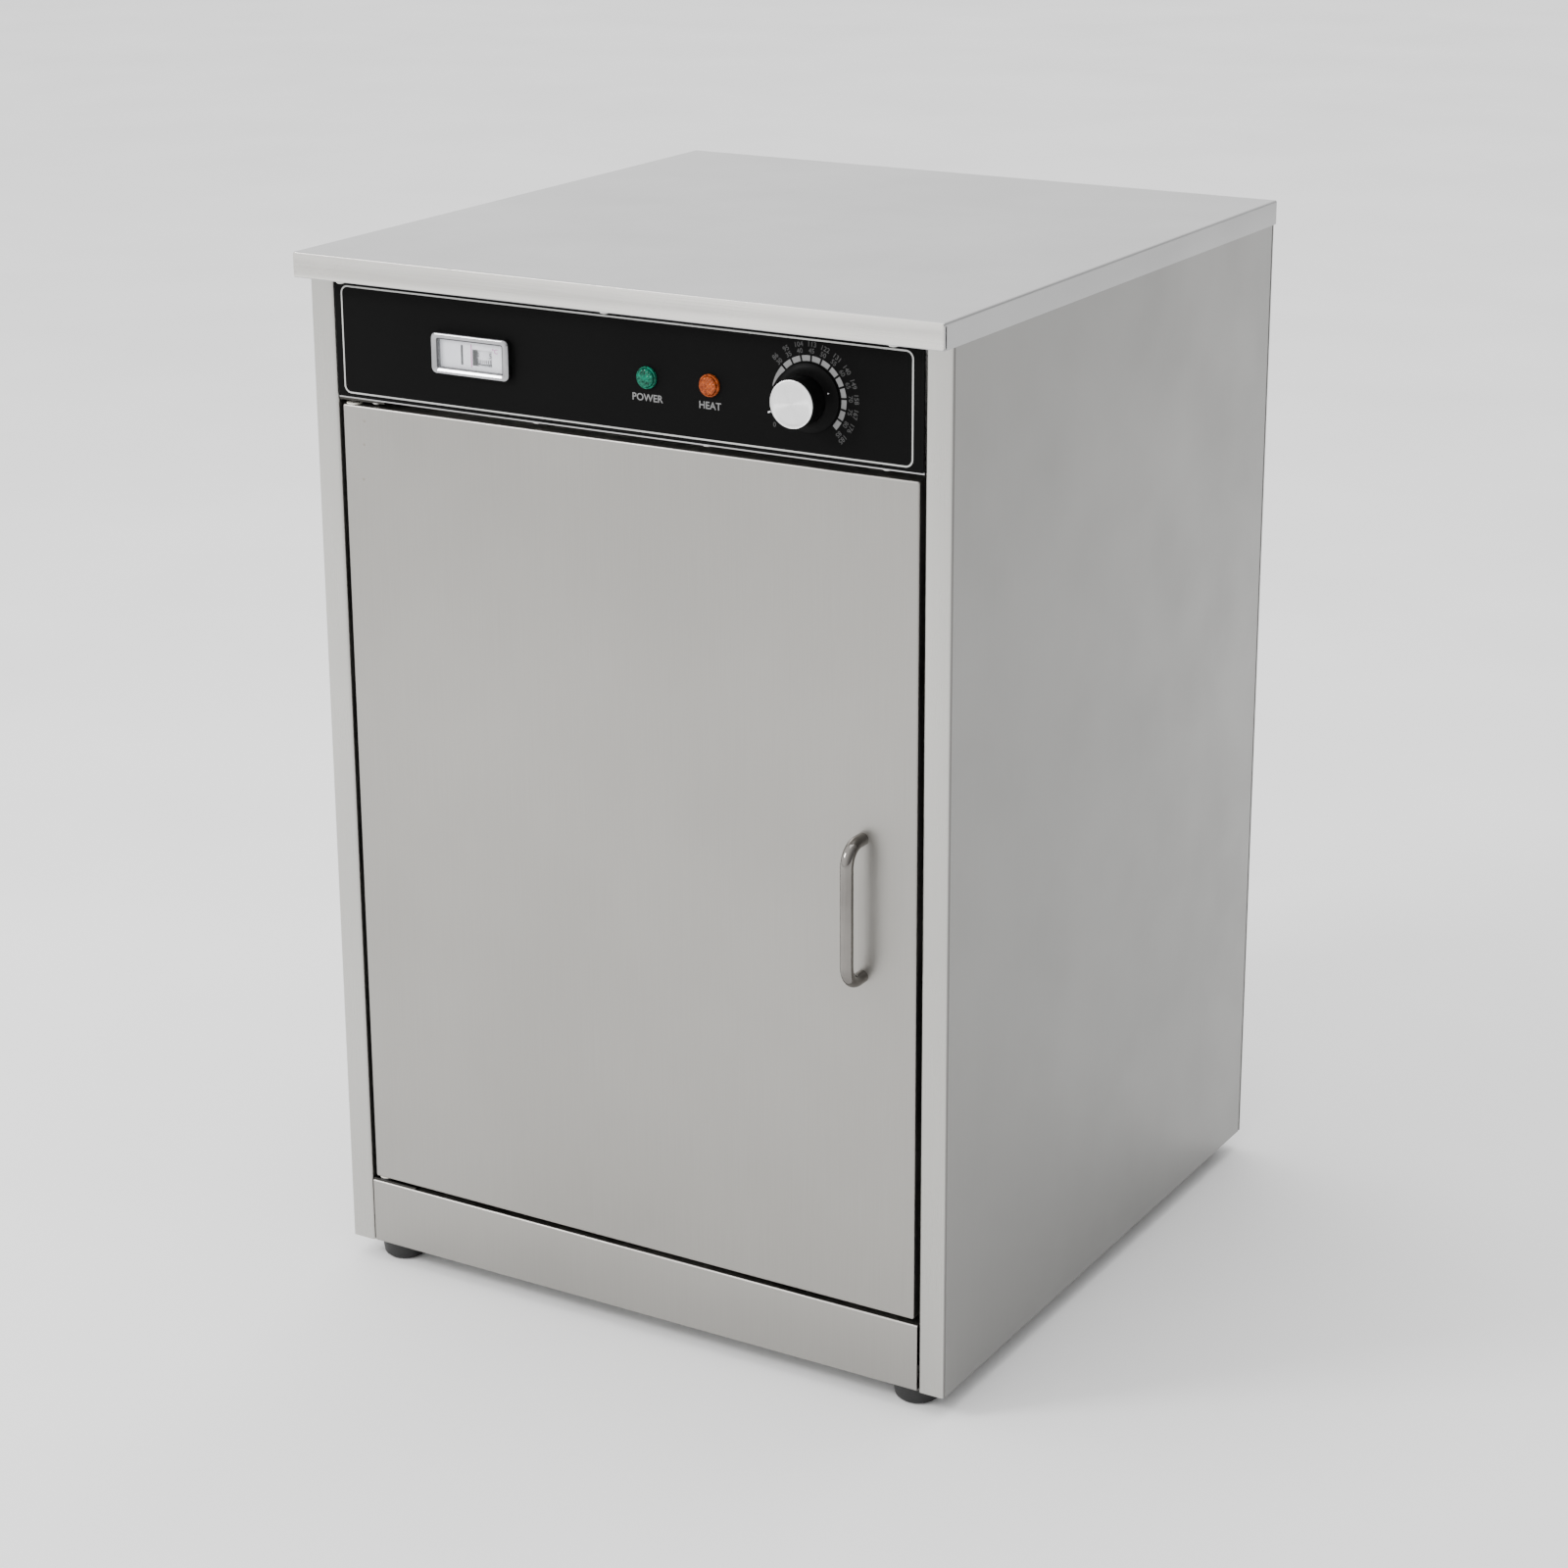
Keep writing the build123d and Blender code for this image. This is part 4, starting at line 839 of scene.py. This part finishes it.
def ringSector(radiusIn, radiusOut, start, end, steps, thickness, taper=False):
    # printed arc between two clock angles in degrees; a taper narrows to nothing at its start
    top, faces = [], []
    for step in range(steps + 1):
        share = step / steps
        angle = math.radians(start + (end - start) * share)
        inside = radiusOut - (radiusOut - radiusIn) * min(1.0, 0.06 + share ** 0.8) if taper else radiusIn
        for radius in (inside, radiusOut):
            top.append((radius * math.sin(angle), radius * math.cos(angle)))
    vertices = [(u, v, thickness) for u, v in top] + [(u, v, -thickness) for u, v in top]
    shift = len(top)
    for step in range(steps):
        a = 2 * step
        faces.append((a, a + 1, a + 3, a + 2))
        faces.append((shift + a, shift + a + 2, shift + a + 3, shift + a + 1))
        faces.append((a, a + 2, shift + a + 2, shift + a))
        faces.append((a + 1, shift + a + 1, shift + a + 3, a + 3))
    faces.append((0, shift, shift + 1, 1))
    last = 2 * steps
    faces.append((last, last + 1, shift + last + 1, shift + last))
    return vertices, faces


dial = {"radiusIn": 23.6 * mm, "radiusOut": 27.2 * mm, "first": -37.4, "pitch": 16.4, "width": 13.2,
        "count": 11, "wedge": (-80.0, -47.5), "outerRow": 34.3 * mm, "innerRow": 30.1 * mm,
        "figure": 4.6 * mm, "lowest": 30, "step": 5, "zeroFigure": (32.5 * mm, -128.7),
        "zeroMark": (31.8 * mm, -113)}
dialCentre = Vector((knobCentre.x, frontY, knobCentre.z))


def dialSegments():
    parts = [ringSector(dial["radiusIn"], dial["radiusOut"], *dial["wedge"], 14, overlayShape["ink"], True)]
    for index in range(dial["count"]):
        middle = dial["first"] + index * dial["pitch"]
        parts.append(ringSector(dial["radiusIn"], dial["radiusOut"], middle - dial["width"] / 2,
                                middle + dial["width"] / 2, 6, overlayShape["ink"]))
    return placed(joined(parts), *facing(dialCentre))


meshPiece("dialSegments", *dialSegments(), printGrey, "cabinet", 30)


def flatText(text, size, thickness, offset):
    # a word or number as thin raised ink, lying flat about its own middle
    curve = bpy.data.curves.new("text", "FONT")
    curve.body = text
    curve.size = size
    curve.align_x = "CENTER"
    curve.align_y = "CENTER"
    curve.extrude = thickness
    curve.offset = offset
    curve.resolution_u = 3
    holder = bpy.data.objects.new("text", curve)
    bpy.context.scene.collection.objects.link(holder)
    mesh = evaluatedMesh(holder, "text")
    bpy.data.objects.remove(holder)
    vertices, faces = [v.co.copy() for v in mesh.vertices], [tuple(p.vertices) for p in mesh.polygons]
    bpy.data.meshes.remove(mesh)
    return vertices, faces


def printedText(name, items, material, body):
    # each item is (text, size, centre, turn, thickness), printed on the front plane
    bits = []
    for text, size, centre, turn, thickness in items:
        vertices, faces = flatText(text, size, thickness, size * 0.012)
        place = (Matrix.Translation(centre) @ Matrix.Rotation(math.pi / 2, 4, "X")
                 @ Matrix.Rotation(-turn, 4, "Z"))
        bits.append(([place @ v for v in vertices], faces))
    piece = meshPiece(name, *joined(bits), material, body, 30)
    return piece


def onDial(radius, clock):
    angle = math.radians(clock)
    return dialCentre + Vector((radius * math.sin(angle), 0, radius * math.cos(angle)))


figures = []
for index in range(dial["count"] + 1):
    celsius = dial["lowest"] + index * dial["step"]
    clock = dial["first"] - dial["pitch"] / 2 + index * dial["pitch"]
    turn = math.radians(clock)
    figures.append((str(round(celsius * 1.8 + 32)), dial["figure"], onDial(dial["outerRow"], clock), turn,
                    overlayShape["ink"]))
    figures.append((str(celsius), dial["figure"] * 0.95, onDial(dial["innerRow"], clock), turn,
                    overlayShape["ink"]))
figures.append(("0", dial["figure"], onDial(*dial["zeroFigure"]), 0.0, overlayShape["ink"]))
printedText("dialFigures", figures, printDim, "cabinet")

greenLow, greenHigh = span("pilot_lens_green")
amberLow, amberHigh = span("pilot_lens_amber")
captions = {"drop": 13.6 * mm, "size": 6.8 * mm}
captionItems = []
for word, low, high in (("POWER", greenLow, greenHigh), ("HEAT", amberLow, amberHigh)):
    place = Vector(((low.x + high.x) / 2, frontY, (low.z + high.z) / 2 - captions["drop"]))
    captionItems.append((word, captions["size"], place, 0.0, overlayShape["ink"]))
printedText("lampCaptions", captionItems, printGrey, "cabinet")

# start mark: a small raised white bar beside the zero
markPart = loft([(0.5 * mm, 1.1 * mm, 0.4 * mm, 0.12 * mm), (0.5 * mm, 1.1 * mm, 0.4 * mm, -0.1 * mm)], 4)
markAngle = -math.radians(dial["zeroMark"][1])
markPart = placed(markPart, onDial(*dial["zeroMark"]), (math.cos(markAngle), 0, math.sin(markAngle)),
                  (-math.sin(markAngle), 0, math.cos(markAngle)), (0, -1, 0))
meshPiece("zeroMark", *markPart, printWhite, "cabinet", 30)
print("fascia printed")


# knob

knobBack = span("knob_body")[1].y
knobShape = {"skirt": 22.4 * mm, "skirtRim": 1.0 * mm, "cone": 5.0 * mm, "grip": 15.9 * mm,
             "cap": 15.6 * mm, "capEdge": 0.45 * mm}
capSeat = knobHigh.y
capFront = knobLow.y


def knobGrip():
    length = knobBack - capSeat
    rim, cone, skirt, grip = knobShape["skirtRim"], knobShape["cone"], knobShape["skirt"], knobShape["grip"]
    profile = [(0, 0), (skirt - 0.4 * mm, 0), (skirt, 0.3 * mm), (skirt, rim - 0.3 * mm),
               (skirt - 0.3 * mm, rim)]
    for step in range(7):
        share = step / 6
        profile.append((skirt - (skirt - grip) * share ** 0.75, rim + cone * share ** 1.35))
    profile += [(grip - 0.05 * mm, rim + cone + 1 * mm), (grip - 0.15 * mm, length - 0.6 * mm),
                (grip - 0.5 * mm, length), (0, length)]
    return placed(lathe(profile, 96), *facing((knobCentre.x, knobBack, knobCentre.z)))


gripPiece = meshPiece("knobGrip", *knobGrip(), knobPhenolic, "knob", 30)
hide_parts("knob_body")


def knobCapDisc():
    edge, cap, deep = knobShape["capEdge"], knobShape["cap"], capSeat - capFront
    profile = [(0, 0), (cap - 0.1 * mm, 0), (cap, 0.15 * mm), (cap, deep - edge),
               (cap - edge * 0.3, deep - edge * 0.3), (cap - edge, deep),
               (cap - edge - 0.25 * mm, deep - 0.12 * mm)]
    for share in (0.8, 0.6, 0.4, 0.2, 0.06):
        profile.append((cap * share, deep - 0.12 * mm - 0.05 * mm * (1 - share)))
    profile.append((0, deep - 0.18 * mm))
    return placed(lathe(profile, 96), *facing((knobCentre.x, capSeat, knobCentre.z)))


capPiece = meshPiece("knobCapDisc", *knobCapDisc(), spunAluminium, "knob", 30)
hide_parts("knob_cap")

# pointer dot: small white dome on the skirt, towards three o'clock
pointerDot = {"clock": 72, "reach": 17.6 * mm, "seat": 4.6 * mm}
dotPart = lathe([(0, 0.3 * mm), (0.22 * mm, 0.22 * mm), (0.36 * mm, 0), (0.36 * mm, -0.8 * mm),
                 (0, -0.8 * mm)], 16)
dotClock = math.radians(pointerDot["clock"])
dotPlace = (knobCentre.x + pointerDot["reach"] * math.sin(dotClock), knobBack - pointerDot["seat"],
            knobCentre.z + pointerDot["reach"] * math.cos(dotClock))
meshPiece("pointerDot", *placed(dotPart, *facing(dotPlace)), printWhite, "knob", 50)
print("knob made")


# thermometer

bezelLow, bezelHigh = span("thermometer_bezel")
bezelCentre = Vector(((bezelLow.x + bezelHigh.x) / 2, frontY, (bezelLow.z + bezelHigh.z) / 2))
bezelShape = {"corner": 4.2 * mm, "window": (26 * mm, 9.5 * mm)}


def bezelRing():
    # metallised frame: chamfered outside, rounded crest, stepped slope down to the window
    halfU, halfV = (bezelHigh.x - bezelLow.x) / 2, (bezelHigh.z - bezelLow.z) / 2
    windowU, windowV = bezelShape["window"]
    deep, corner = bezelHigh.y - bezelLow.y, bezelShape["corner"]
    rings = [(halfU, halfV, corner, 0), (halfU, halfV, corner, deep - 1.6 * mm),
             (halfU - 0.35 * mm, halfV - 0.35 * mm, corner - 0.2 * mm, deep - 0.8 * mm),
             (halfU - 1.1 * mm, halfV - 1.1 * mm, corner - 0.6 * mm, deep - 0.15 * mm),
             (halfU - 1.7 * mm, halfV - 1.7 * mm, corner - 1.0 * mm, deep),
             (halfU - 2.3 * mm, halfV - 2.3 * mm, corner - 1.4 * mm, deep - 0.15 * mm),
             (windowU + 1.0 * mm, windowV + 1.0 * mm, 1.6 * mm, deep - 1.0 * mm),
             (windowU + 0.15 * mm, windowV + 0.15 * mm, 1.0 * mm, deep - 1.3 * mm),
             (windowU, windowV, 0.9 * mm, deep - 1.8 * mm), (windowU, windowV, 0.9 * mm, 0)]
    return placed(loft(rings, 6, closed=True), *facing(bezelCentre))


bezelPiece = meshPiece("thermometerFrame", *bezelRing(), chromedAbs, "cabinet", 32)
# the faces about the window take the painted shade instead of the chrome
bezelPiece.data.materials.append(recessShade)
for face in bezelPiece.data.polygons:
    across, up = abs(face.center.x - bezelCentre.x), abs(face.center.z - bezelCentre.z)
    if across < bezelShape["window"][0] + 0.7 * mm and up < bezelShape["window"][1] + 0.7 * mm:
        face.material_index = 1
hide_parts("thermometer_bezel")

faceLow = span("thermometer_face")[0]

drumLow, drumHigh = span("thermometer_drum")
drumCentre = (drumLow + drumHigh) / 2
drumRadius = (drumHigh.x - drumLow.x) / 2
scale = {"barX": -8.2 * mm, "barWidth": 1.7 * mm, "lineX": -0.5 * mm, "unitX": 18.6 * mm,
         "figureSize": 4.4 * mm, "tickCount": 30, "tickPitch": 9.0, "perDegree": 4.25, "middle": 11.53}


def thinBar(centreU, centreV, width, height, y):
    part = loft([(width / 2, height / 2, 0.1 * mm, 0.1 * mm), (width / 2, height / 2, 0.1 * mm, -0.1 * mm)],
                2)
    return placed(part, *facing((bezelCentre.x + centreU, y, bezelCentre.z + centreV)))


faceY = faceLow.y
meshPiece("thermometerPointer", *thinBar(scale["barX"], 0, scale["barWidth"], 13.5 * mm, faceY),
                  printBlack, "cabinet", 30)
meshPiece("thermometerRedline", *thinBar(scale["lineX"], 0, 0.7 * mm, 15.5 * mm, faceY), printPink,
                  "cabinet", 30)
unitPlace = Vector((bezelCentre.x + scale["unitX"], faceY, bezelCentre.z + 4.6 * mm))
printedText("thermometerUnit", [("°C", 4.4 * mm, unitPlace, 0.0, 0.09 * mm)], printPink, "cabinet")


def drumBand(start, end, low, high):
    # ink patch on the drum's curved side between two angles, and two heights about its centre
    vertices, faces = [], []
    for radius in (drumRadius + 0.1 * mm, drumRadius - 0.1 * mm):
        for angle in (start, (start + end) / 2, end):
            for z in (low, high):
                turn = math.radians(angle)
                vertices.append((drumCentre.x + radius * math.sin(turn),
                                 drumCentre.y - radius * math.cos(turn), drumCentre.z + z))
    for i in (0, 2):
        faces.append((i, i + 2, i + 3, i + 1))
        faces.append((6 + i, 7 + i, 9 + i, 8 + i))
        faces.append((i, 6 + i, 8 + i, i + 2))
        faces.append((i + 1, i + 3, 9 + i, 7 + i))
    faces.append((0, 1, 7, 6))
    faces.append((4, 10, 11, 5))
    return vertices, faces


tickParts = []
for index in range(scale["tickCount"]):
    angle = (index - scale["tickCount"] / 2) * scale["tickPitch"]
    tickParts.append(drumBand(angle, angle + scale["tickPitch"] * 0.5, -4.8 * mm, -2.4 * mm))
meshPiece("drumTicks", *joined(tickParts), scaleGrey, "scale_drum", 30)
meshPiece("drumBaseLine",
                  *joined([drumBand(a, a + 10, -6.0 * mm, -5.2 * mm) for a in range(-120, 120, 10)]),
                  printBlack, "scale_drum", 60)


def drumFigures():
    # figures wrapped round the drum, as thin ink
    bits = []
    for number in range(-40, 100, 15):
        angle = math.radians(-(number - scale["middle"]) * scale["perDegree"])
        if abs(angle) > math.radians(170):
            continue
        vertices, faces = flatText(str(number), scale["figureSize"], 0.09 * mm, 0)
        corners = []
        for vertex in vertices:
            turn = angle + vertex.x / drumRadius
            radius = drumRadius + vertex.z
            corners.append((drumCentre.x + radius * math.sin(turn), drumCentre.y - radius * math.cos(turn),
                            drumCentre.z + 0.4 * mm + vertex.y))
        bits.append((corners, faces))
    return joined(bits)


meshPiece("drumFigures", *drumFigures(), printBlack, "scale_drum", 30)
print("thermometer made")


# pilot lamps

lensShape = {"rim": 1.5 * mm, "rimHeight": 1.7 * mm, "crown": 4.1 * mm, "grid": 44, "facet": 1.9 * mm,
             "facetHeight": 0.62 * mm}


def lampLens(radius):
    # moulded rim, a groove, and a crowned face of small pyramids, drawn coarser than real so that they show
    rim, rimHeight, crown = lensShape["rim"], lensShape["rimHeight"], lensShape["crown"]
    face = radius - rim
    profile = [(0, 0), (radius, 0), (radius, rimHeight * 0.7), (radius - 0.3 * mm, rimHeight),
               (radius - rim * 0.6, rimHeight), (face + 0.1 * mm, rimHeight * 0.7), (face, crown * 0.62),
               (face - 0.25 * mm, crown * 0.7)]
    vertices, faces = lathe(profile, 48)
    grid, inner = lensShape["grid"], face - 0.25 * mm
    shift = len(vertices)
    for row in range(grid + 1):
        for column in range(grid + 1):
            a, b = 2 * column / grid - 1, 2 * row / grid - 1
            u = a * math.sqrt(1 - b * b / 2) * inner
            v = b * math.sqrt(1 - a * a / 2) * inner
            across, along = (u + v) / 1.4142 / lensShape["facet"], (u - v) / 1.4142 / lensShape["facet"]
            peak = 1 - 2 * max(abs(across - math.floor(across) - 0.5), abs(along - math.floor(along) - 0.5))
            spread = (u * u + v * v) / (inner * inner)
            edge = min(1.0, (1 - spread) * 6)
            vertices.append((u, v,
                             crown * (0.7 + 0.22 * (1 - spread)) + lensShape["facetHeight"] * peak * edge))
    for row in range(grid):
        for column in range(grid):
            a = shift + row * (grid + 1) + column
            faces.append((a, a + 1, a + grid + 2, a + grid + 1))
    return vertices, faces


pilotLenses = (("pilotLensGreen", "pilot_lens_green", greenLens, "green_lens"),
               ("pilotLensAmber", "pilot_lens_amber", amberLens, "amber_lens"))
for lensName, lensNode, lensMaterial, lensSlot in pilotLenses:
    low, high = span(lensNode)
    centre = ((low.x + high.x) / 2, high.y, (low.z + high.z) / 2)
    lens = meshPiece(lensName, *placed(lampLens((high.x - low.x) / 2), *facing(centre)), lensMaterial,
                     "cabinet", 20)
    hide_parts(lensNode)
print("lamps made")


# screws, by Geometry Nodes

def scatter(name, points, turns, source, material):
    # instances of a small mesh on points, each turned by its own rotation, made real
    cloudMesh = bpy.data.meshes.new(name + "Points")
    cloudMesh.from_pydata([tuple(p) for p in points], [], [])
    turnLayer = cloudMesh.attributes.new("turn", "FLOAT_VECTOR", "POINT")
    for item, turn in zip(turnLayer.data, turns):
        item.vector = turn
    holder = bpy.data.objects.new(name + "Points", cloudMesh)
    bpy.context.scene.collection.objects.link(holder)
    tree = bpy.data.node_groups.new(name + "Tree", "GeometryNodeTree")
    tree.interface.new_socket("Geometry", in_out="INPUT", socket_type="NodeSocketGeometry")
    sizeSocket = tree.interface.new_socket("Head Size", in_out="INPUT", socket_type="NodeSocketFloat")
    sourceSocket = tree.interface.new_socket("Head Shape", in_out="INPUT", socket_type="NodeSocketObject")
    tree.interface.new_socket("Geometry", in_out="OUTPUT", socket_type="NodeSocketGeometry")
    start = addNode(tree, "NodeGroupInput")
    shape = addNode(tree, "GeometryNodeObjectInfo", {}, {"Object": start.outputs["Head Shape"]})
    turn = addNode(tree, "GeometryNodeInputNamedAttribute", {"data_type": "FLOAT_VECTOR", "Name": "turn"})
    placedOn = addNode(tree, "GeometryNodeInstanceOnPoints", {},
                       {"Points": start.outputs["Geometry"], "Instance": shape.outputs["Geometry"],
                        "Rotation": turn.outputs["Attribute"], "Scale": start.outputs["Head Size"]})
    real = addNode(tree, "GeometryNodeRealizeInstances", {}, {"Geometry": placedOn.outputs[0]})
    finish = addNode(tree, "GeometryNodeSetMaterial", {"Material": material}, {"Geometry": real.outputs[0]})
    addNode(tree, "NodeGroupOutput", {}, {"Geometry": finish.outputs[0]})
    modifier = holder.modifiers.new("scatter", "NODES")
    modifier.node_group = tree
    modifier[sizeSocket.identifier] = 1.0
    modifier[sourceSocket.identifier] = source
    mesh = evaluatedMesh(holder, name)
    bpy.data.objects.remove(holder)
    return [v.co.copy() for v in mesh.vertices], [tuple(p.vertices) for p in mesh.polygons]


screwShape = {"radius": 4.0 * mm, "height": 2.2 * mm, "recess": 1.3 * mm, "recessDepth": 0.9 * mm}


def screwHeadSource():
    # dome head with a round, cone-shaped recess, head along +w, seat at w = 0
    radius, height = screwShape["radius"], screwShape["height"]
    profile = [(0, -0.2 * mm), (radius * 0.98, 0), (radius, height * 0.2)]
    for step in range(1, 6):
        angle = math.radians(15 * step)
        profile.append((radius * math.cos(angle), height * (0.2 + 0.8 * math.sin(angle))))
    profile += [(screwShape["recess"] * 0.7, height * 0.97),
                (screwShape["recess"] * 0.35, height - screwShape["recessDepth"]),
                (0, height - screwShape["recessDepth"])]
    return meshPiece("screwHeadSource", *lathe(profile, 20), screwSteel, None, 40)


headSource = screwHeadSource()
screwPlaces, screwTurns = [], []
for low, high in looseBoxes("body_screws"):
    middle = (low + high) / 2
    if (high.z - low.z) < 8.1 * mm and abs((high.x - low.x) - (high.z - low.z)) < 1e-4:
        screwPlaces.append((middle.x, high.y - screwShape["height"], middle.z))
        screwTurns.append((-math.pi / 2, 0, 0))
    else:
        screwPlaces.append((middle.x, middle.y, low.z + screwShape["height"]))
        screwTurns.append((math.pi, 0, 0))
screws = meshPiece("domeScrews", *scatter("domeScrews", screwPlaces, screwTurns, headSource, screwSteel),
                   screwSteel, "cabinet", 40)
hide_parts("body_screws")
bpy.data.objects.remove(headSource)
print("screws placed:", len(screwPlaces))


# three faint spot-weld marks on the door's hinge side
weldSpots = {"across": (-207.0 * mm, -208.0 * mm, -209.5 * mm),
             "level": (639.5 * mm, 623.0 * mm, 598.3 * mm), "radius": 1.1 * mm, "stand": 0.12 * mm}
weldDisc = meshPiece("weldDisc",
                     *lathe([(0, -0.15 * mm), (weldSpots["radius"], -0.15 * mm), (weldSpots["radius"], 0),
                             (weldSpots["radius"] * 0.5, weldSpots["stand"]), (0, weldSpots["stand"])], 16),
                     weldTint, None, 60)
weldPlaces = [(x, doorLow.y, z) for x, z in zip(weldSpots["across"], weldSpots["level"])]
meshPiece("spotWelds",
                  *scatter("spotWelds", weldPlaces, [(math.pi / 2, 0, 0)] * 3, weldDisc, weldTint),
                  weldTint, "door", 60)
bpy.data.objects.remove(weldDisc)


# feet

footShape = {"top": 17.5 * mm, "bottom": 16.0 * mm, "height": 15.5 * mm, "round": 4.5 * mm,
             "recess": 6.0 * mm, "recessDepth": 8.0 * mm}


def footBody():
    # moulded foot: thin flange under the body, slightly tapered wall, rounded sole with a screw recess
    top, bottom = footShape["top"], footShape["bottom"]
    height, curve = footShape["height"], footShape["round"]
    profile = [(2.7 * mm, height), (top - 0.4 * mm, height), (top, height - 0.4 * mm),
               (top, height - 2.0 * mm), (top - 0.4 * mm, height - 2.5 * mm)]
    for step in range(8):
        angle = math.pi / 2 * step / 7
        profile.append((bottom - curve * (1 - math.cos(angle)), curve * (1 - math.sin(angle))))
    profile += [(footShape["recess"] + 0.4 * mm, 0), (footShape["recess"], 0.4 * mm),
                (footShape["recess"], footShape["recessDepth"]), (2.7 * mm, footShape["recessDepth"]),
                (2.7 * mm, height)]
    return lathe(profile, 40)


footParts = []
for low, high in looseBoxes("feet"):
    footParts.append(placed(footBody(), ((low.x + high.x) / 2, (low.y + high.y) / 2, 0), (1, 0, 0),
                            (0, 1, 0), (0, 0, 1)))
feetPiece = meshPiece("mouldedFeet", *joined(footParts), footRubber, "cabinet", 40)
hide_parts("feet")
print("feet made")


# chamber

panLow, panHigh = span("water_pan")
panShape = {"rim": 14 * mm, "corner": 16 * mm, "sheet": 0.8 * mm}


def pressedPan():
    # drawn water pan: flat rim with a rounded edge, radiused corners and a flat bottom
    halfU, halfV = (panHigh.x - panLow.x) / 2, (panHigh.y - panLow.y) / 2
    sheetT, rim = panShape["sheet"], panShape["rim"]
    deep = panHigh.z - panLow.z
    wallU, wallV = halfU - 12 * mm, halfV - rim
    corner = panShape["corner"]
    rings = [(halfU, halfV, 6 * mm, -sheetT), (halfU, halfV, 6 * mm, 0), (wallU, wallV, corner, 0),
             (wallU - 1.5 * mm, wallV - 1.5 * mm, corner - 1 * mm, -2 * mm),
             (wallU - 2 * mm, wallV - 2 * mm, corner - 1 * mm, -deep + 5 * mm),
             (wallU - 5 * mm, wallV - 5 * mm, corner - 3 * mm, -deep + sheetT),
             (wallU - 4 * mm, wallV - 4 * mm, corner - 2 * mm, -deep),
             (wallU - 1 * mm, wallV - 1 * mm, corner, -deep + 5 * mm),
             (wallU - 0.3 * mm, wallV - 0.3 * mm, corner, -2 * sheetT),
             (wallU + 1 * mm, wallV + 1 * mm, corner, -sheetT)]
    steps = 6
    vertices, faces = loft(rings, steps, closed=True)
    # the flat bottom: each of the two lowest rings is closed by one face, and they aren't joined
    count = 4 * (steps + 1)
    faces.append(tuple(range(5 * count, 6 * count)))
    faces.append(tuple(range(6 * count, 7 * count)))
    faces = [f for f in faces if not (len(f) == 4 and min(f) >= 5 * count and max(f) < 7 * count)]
    centre = ((panLow.x + panHigh.x) / 2, (panLow.y + panHigh.y) / 2, panHigh.z)
    return placed((vertices, faces), centre, (1, 0, 0), (0, 1, 0), (0, 0, 1))


panPiece = meshPiece("waterPanPressing", *pressedPan(), stainlessLiner, "cabinet", 30)
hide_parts("water_pan")
print("chamber finished")


# stage, light and camera

# floor: pale matt paper, so that shadows stay soft
floorMaterial, floorTree, floorShader = newMaterial("paleStudioPaper",
                                                    {"Roughness": 0.9, "Specular IOR Level": 0.1})
toneBetween(floorTree, floorShader, cloud(floorTree, 400 * mm), "F4F4F4", "FAFAFA")
stageSize = {"half": 60.0}
reach = stageSize["half"]
floor = meshPiece("studioFloor",
                  [(-reach, -reach, 0), (reach, -reach, 0), (reach, reach, 0), (-reach, reach, 0)],
                  [(0, 1, 2, 3)], floorMaterial, None, 30)

light = {"bright": 2.05, "dim": 0.45, "towards": (-1.0, -0.15, 0.35), "colour": "FFFFFF"}
world = bpy.data.worlds.new("studioWorld")
bpy.context.scene.world = world
world.use_nodes = True
background = world.node_tree.nodes["Background"]
background.inputs["Color"].default_value = hexColour(light["colour"])
skyPlace = addNode(world.node_tree, "ShaderNodeTexCoord")
skyDot = addNode(world.node_tree, "ShaderNodeVectorMath",
                 {"operation": "DOT_PRODUCT", 1: tuple(Vector(light["towards"]).normalized())},
                 {0: skyPlace.outputs["Generated"]})
skyLevel = addNode(world.node_tree, "ShaderNodeMapRange",
                   {1: -0.7, 2: 0.5, 3: light["dim"], 4: light["bright"]}, {0: skyDot.outputs["Value"]})
world.node_tree.links.new(skyLevel.outputs[0], background.inputs["Strength"])


def softBox(name, place, target, size, power):
    lamp = bpy.data.lights.new(name, "AREA")
    lamp.shape = "RECTANGLE"
    lamp.size, lamp.size_y = size
    lamp.energy = power
    holder = bpy.data.objects.new(name, lamp)
    holder.location = place
    holder.rotation_euler = (Vector(target) - Vector(place)).to_track_quat("-Z", "Y").to_euler()
    bpy.context.scene.collection.objects.link(holder)


lamps = {"keyLeft": {"place": (-2.2, -2.4, 2.4), "target": (0, 0, 0.4), "size": (0.9, 0.9), "power": 80},
         "topFill": {"place": (0.2, 0.2, 3.2), "target": (0, 0, 0.6), "size": (2.2, 2.2), "power": 30}}
for lampName, lamp in lamps.items():
    softBox(lampName, lamp["place"], lamp["target"], lamp["size"], lamp["power"])

cameraSet = {"lens": 79.7, "place": (1224 * mm, -1838 * mm, 1161 * mm), "azimuth": 30.64,
             "elevation": 17.47, "roll": -0.28, "shiftY": -0.06}
camera = bpy.data.objects.new("studioCamera", bpy.data.cameras.new("studioCamera"))
bpy.context.scene.collection.objects.link(camera)
camera.data.lens = cameraSet["lens"]
camera.data.sensor_width = 36
camera.data.shift_y = cameraSet["shiftY"]
camera.location = Vector((0, topLow.y, baseZ)) + Vector(cameraSet["place"])
azimuth, elevation = math.radians(cameraSet["azimuth"]), math.radians(cameraSet["elevation"])
camera.rotation_euler = (Matrix.Rotation(azimuth, 4, "Z") @ Matrix.Rotation(math.pi / 2 - elevation, 4, "X")
                         @ Matrix.Rotation(math.radians(cameraSet["roll"]), 4, "Z")).to_euler()
bpy.context.scene.camera = camera
print("stage set")
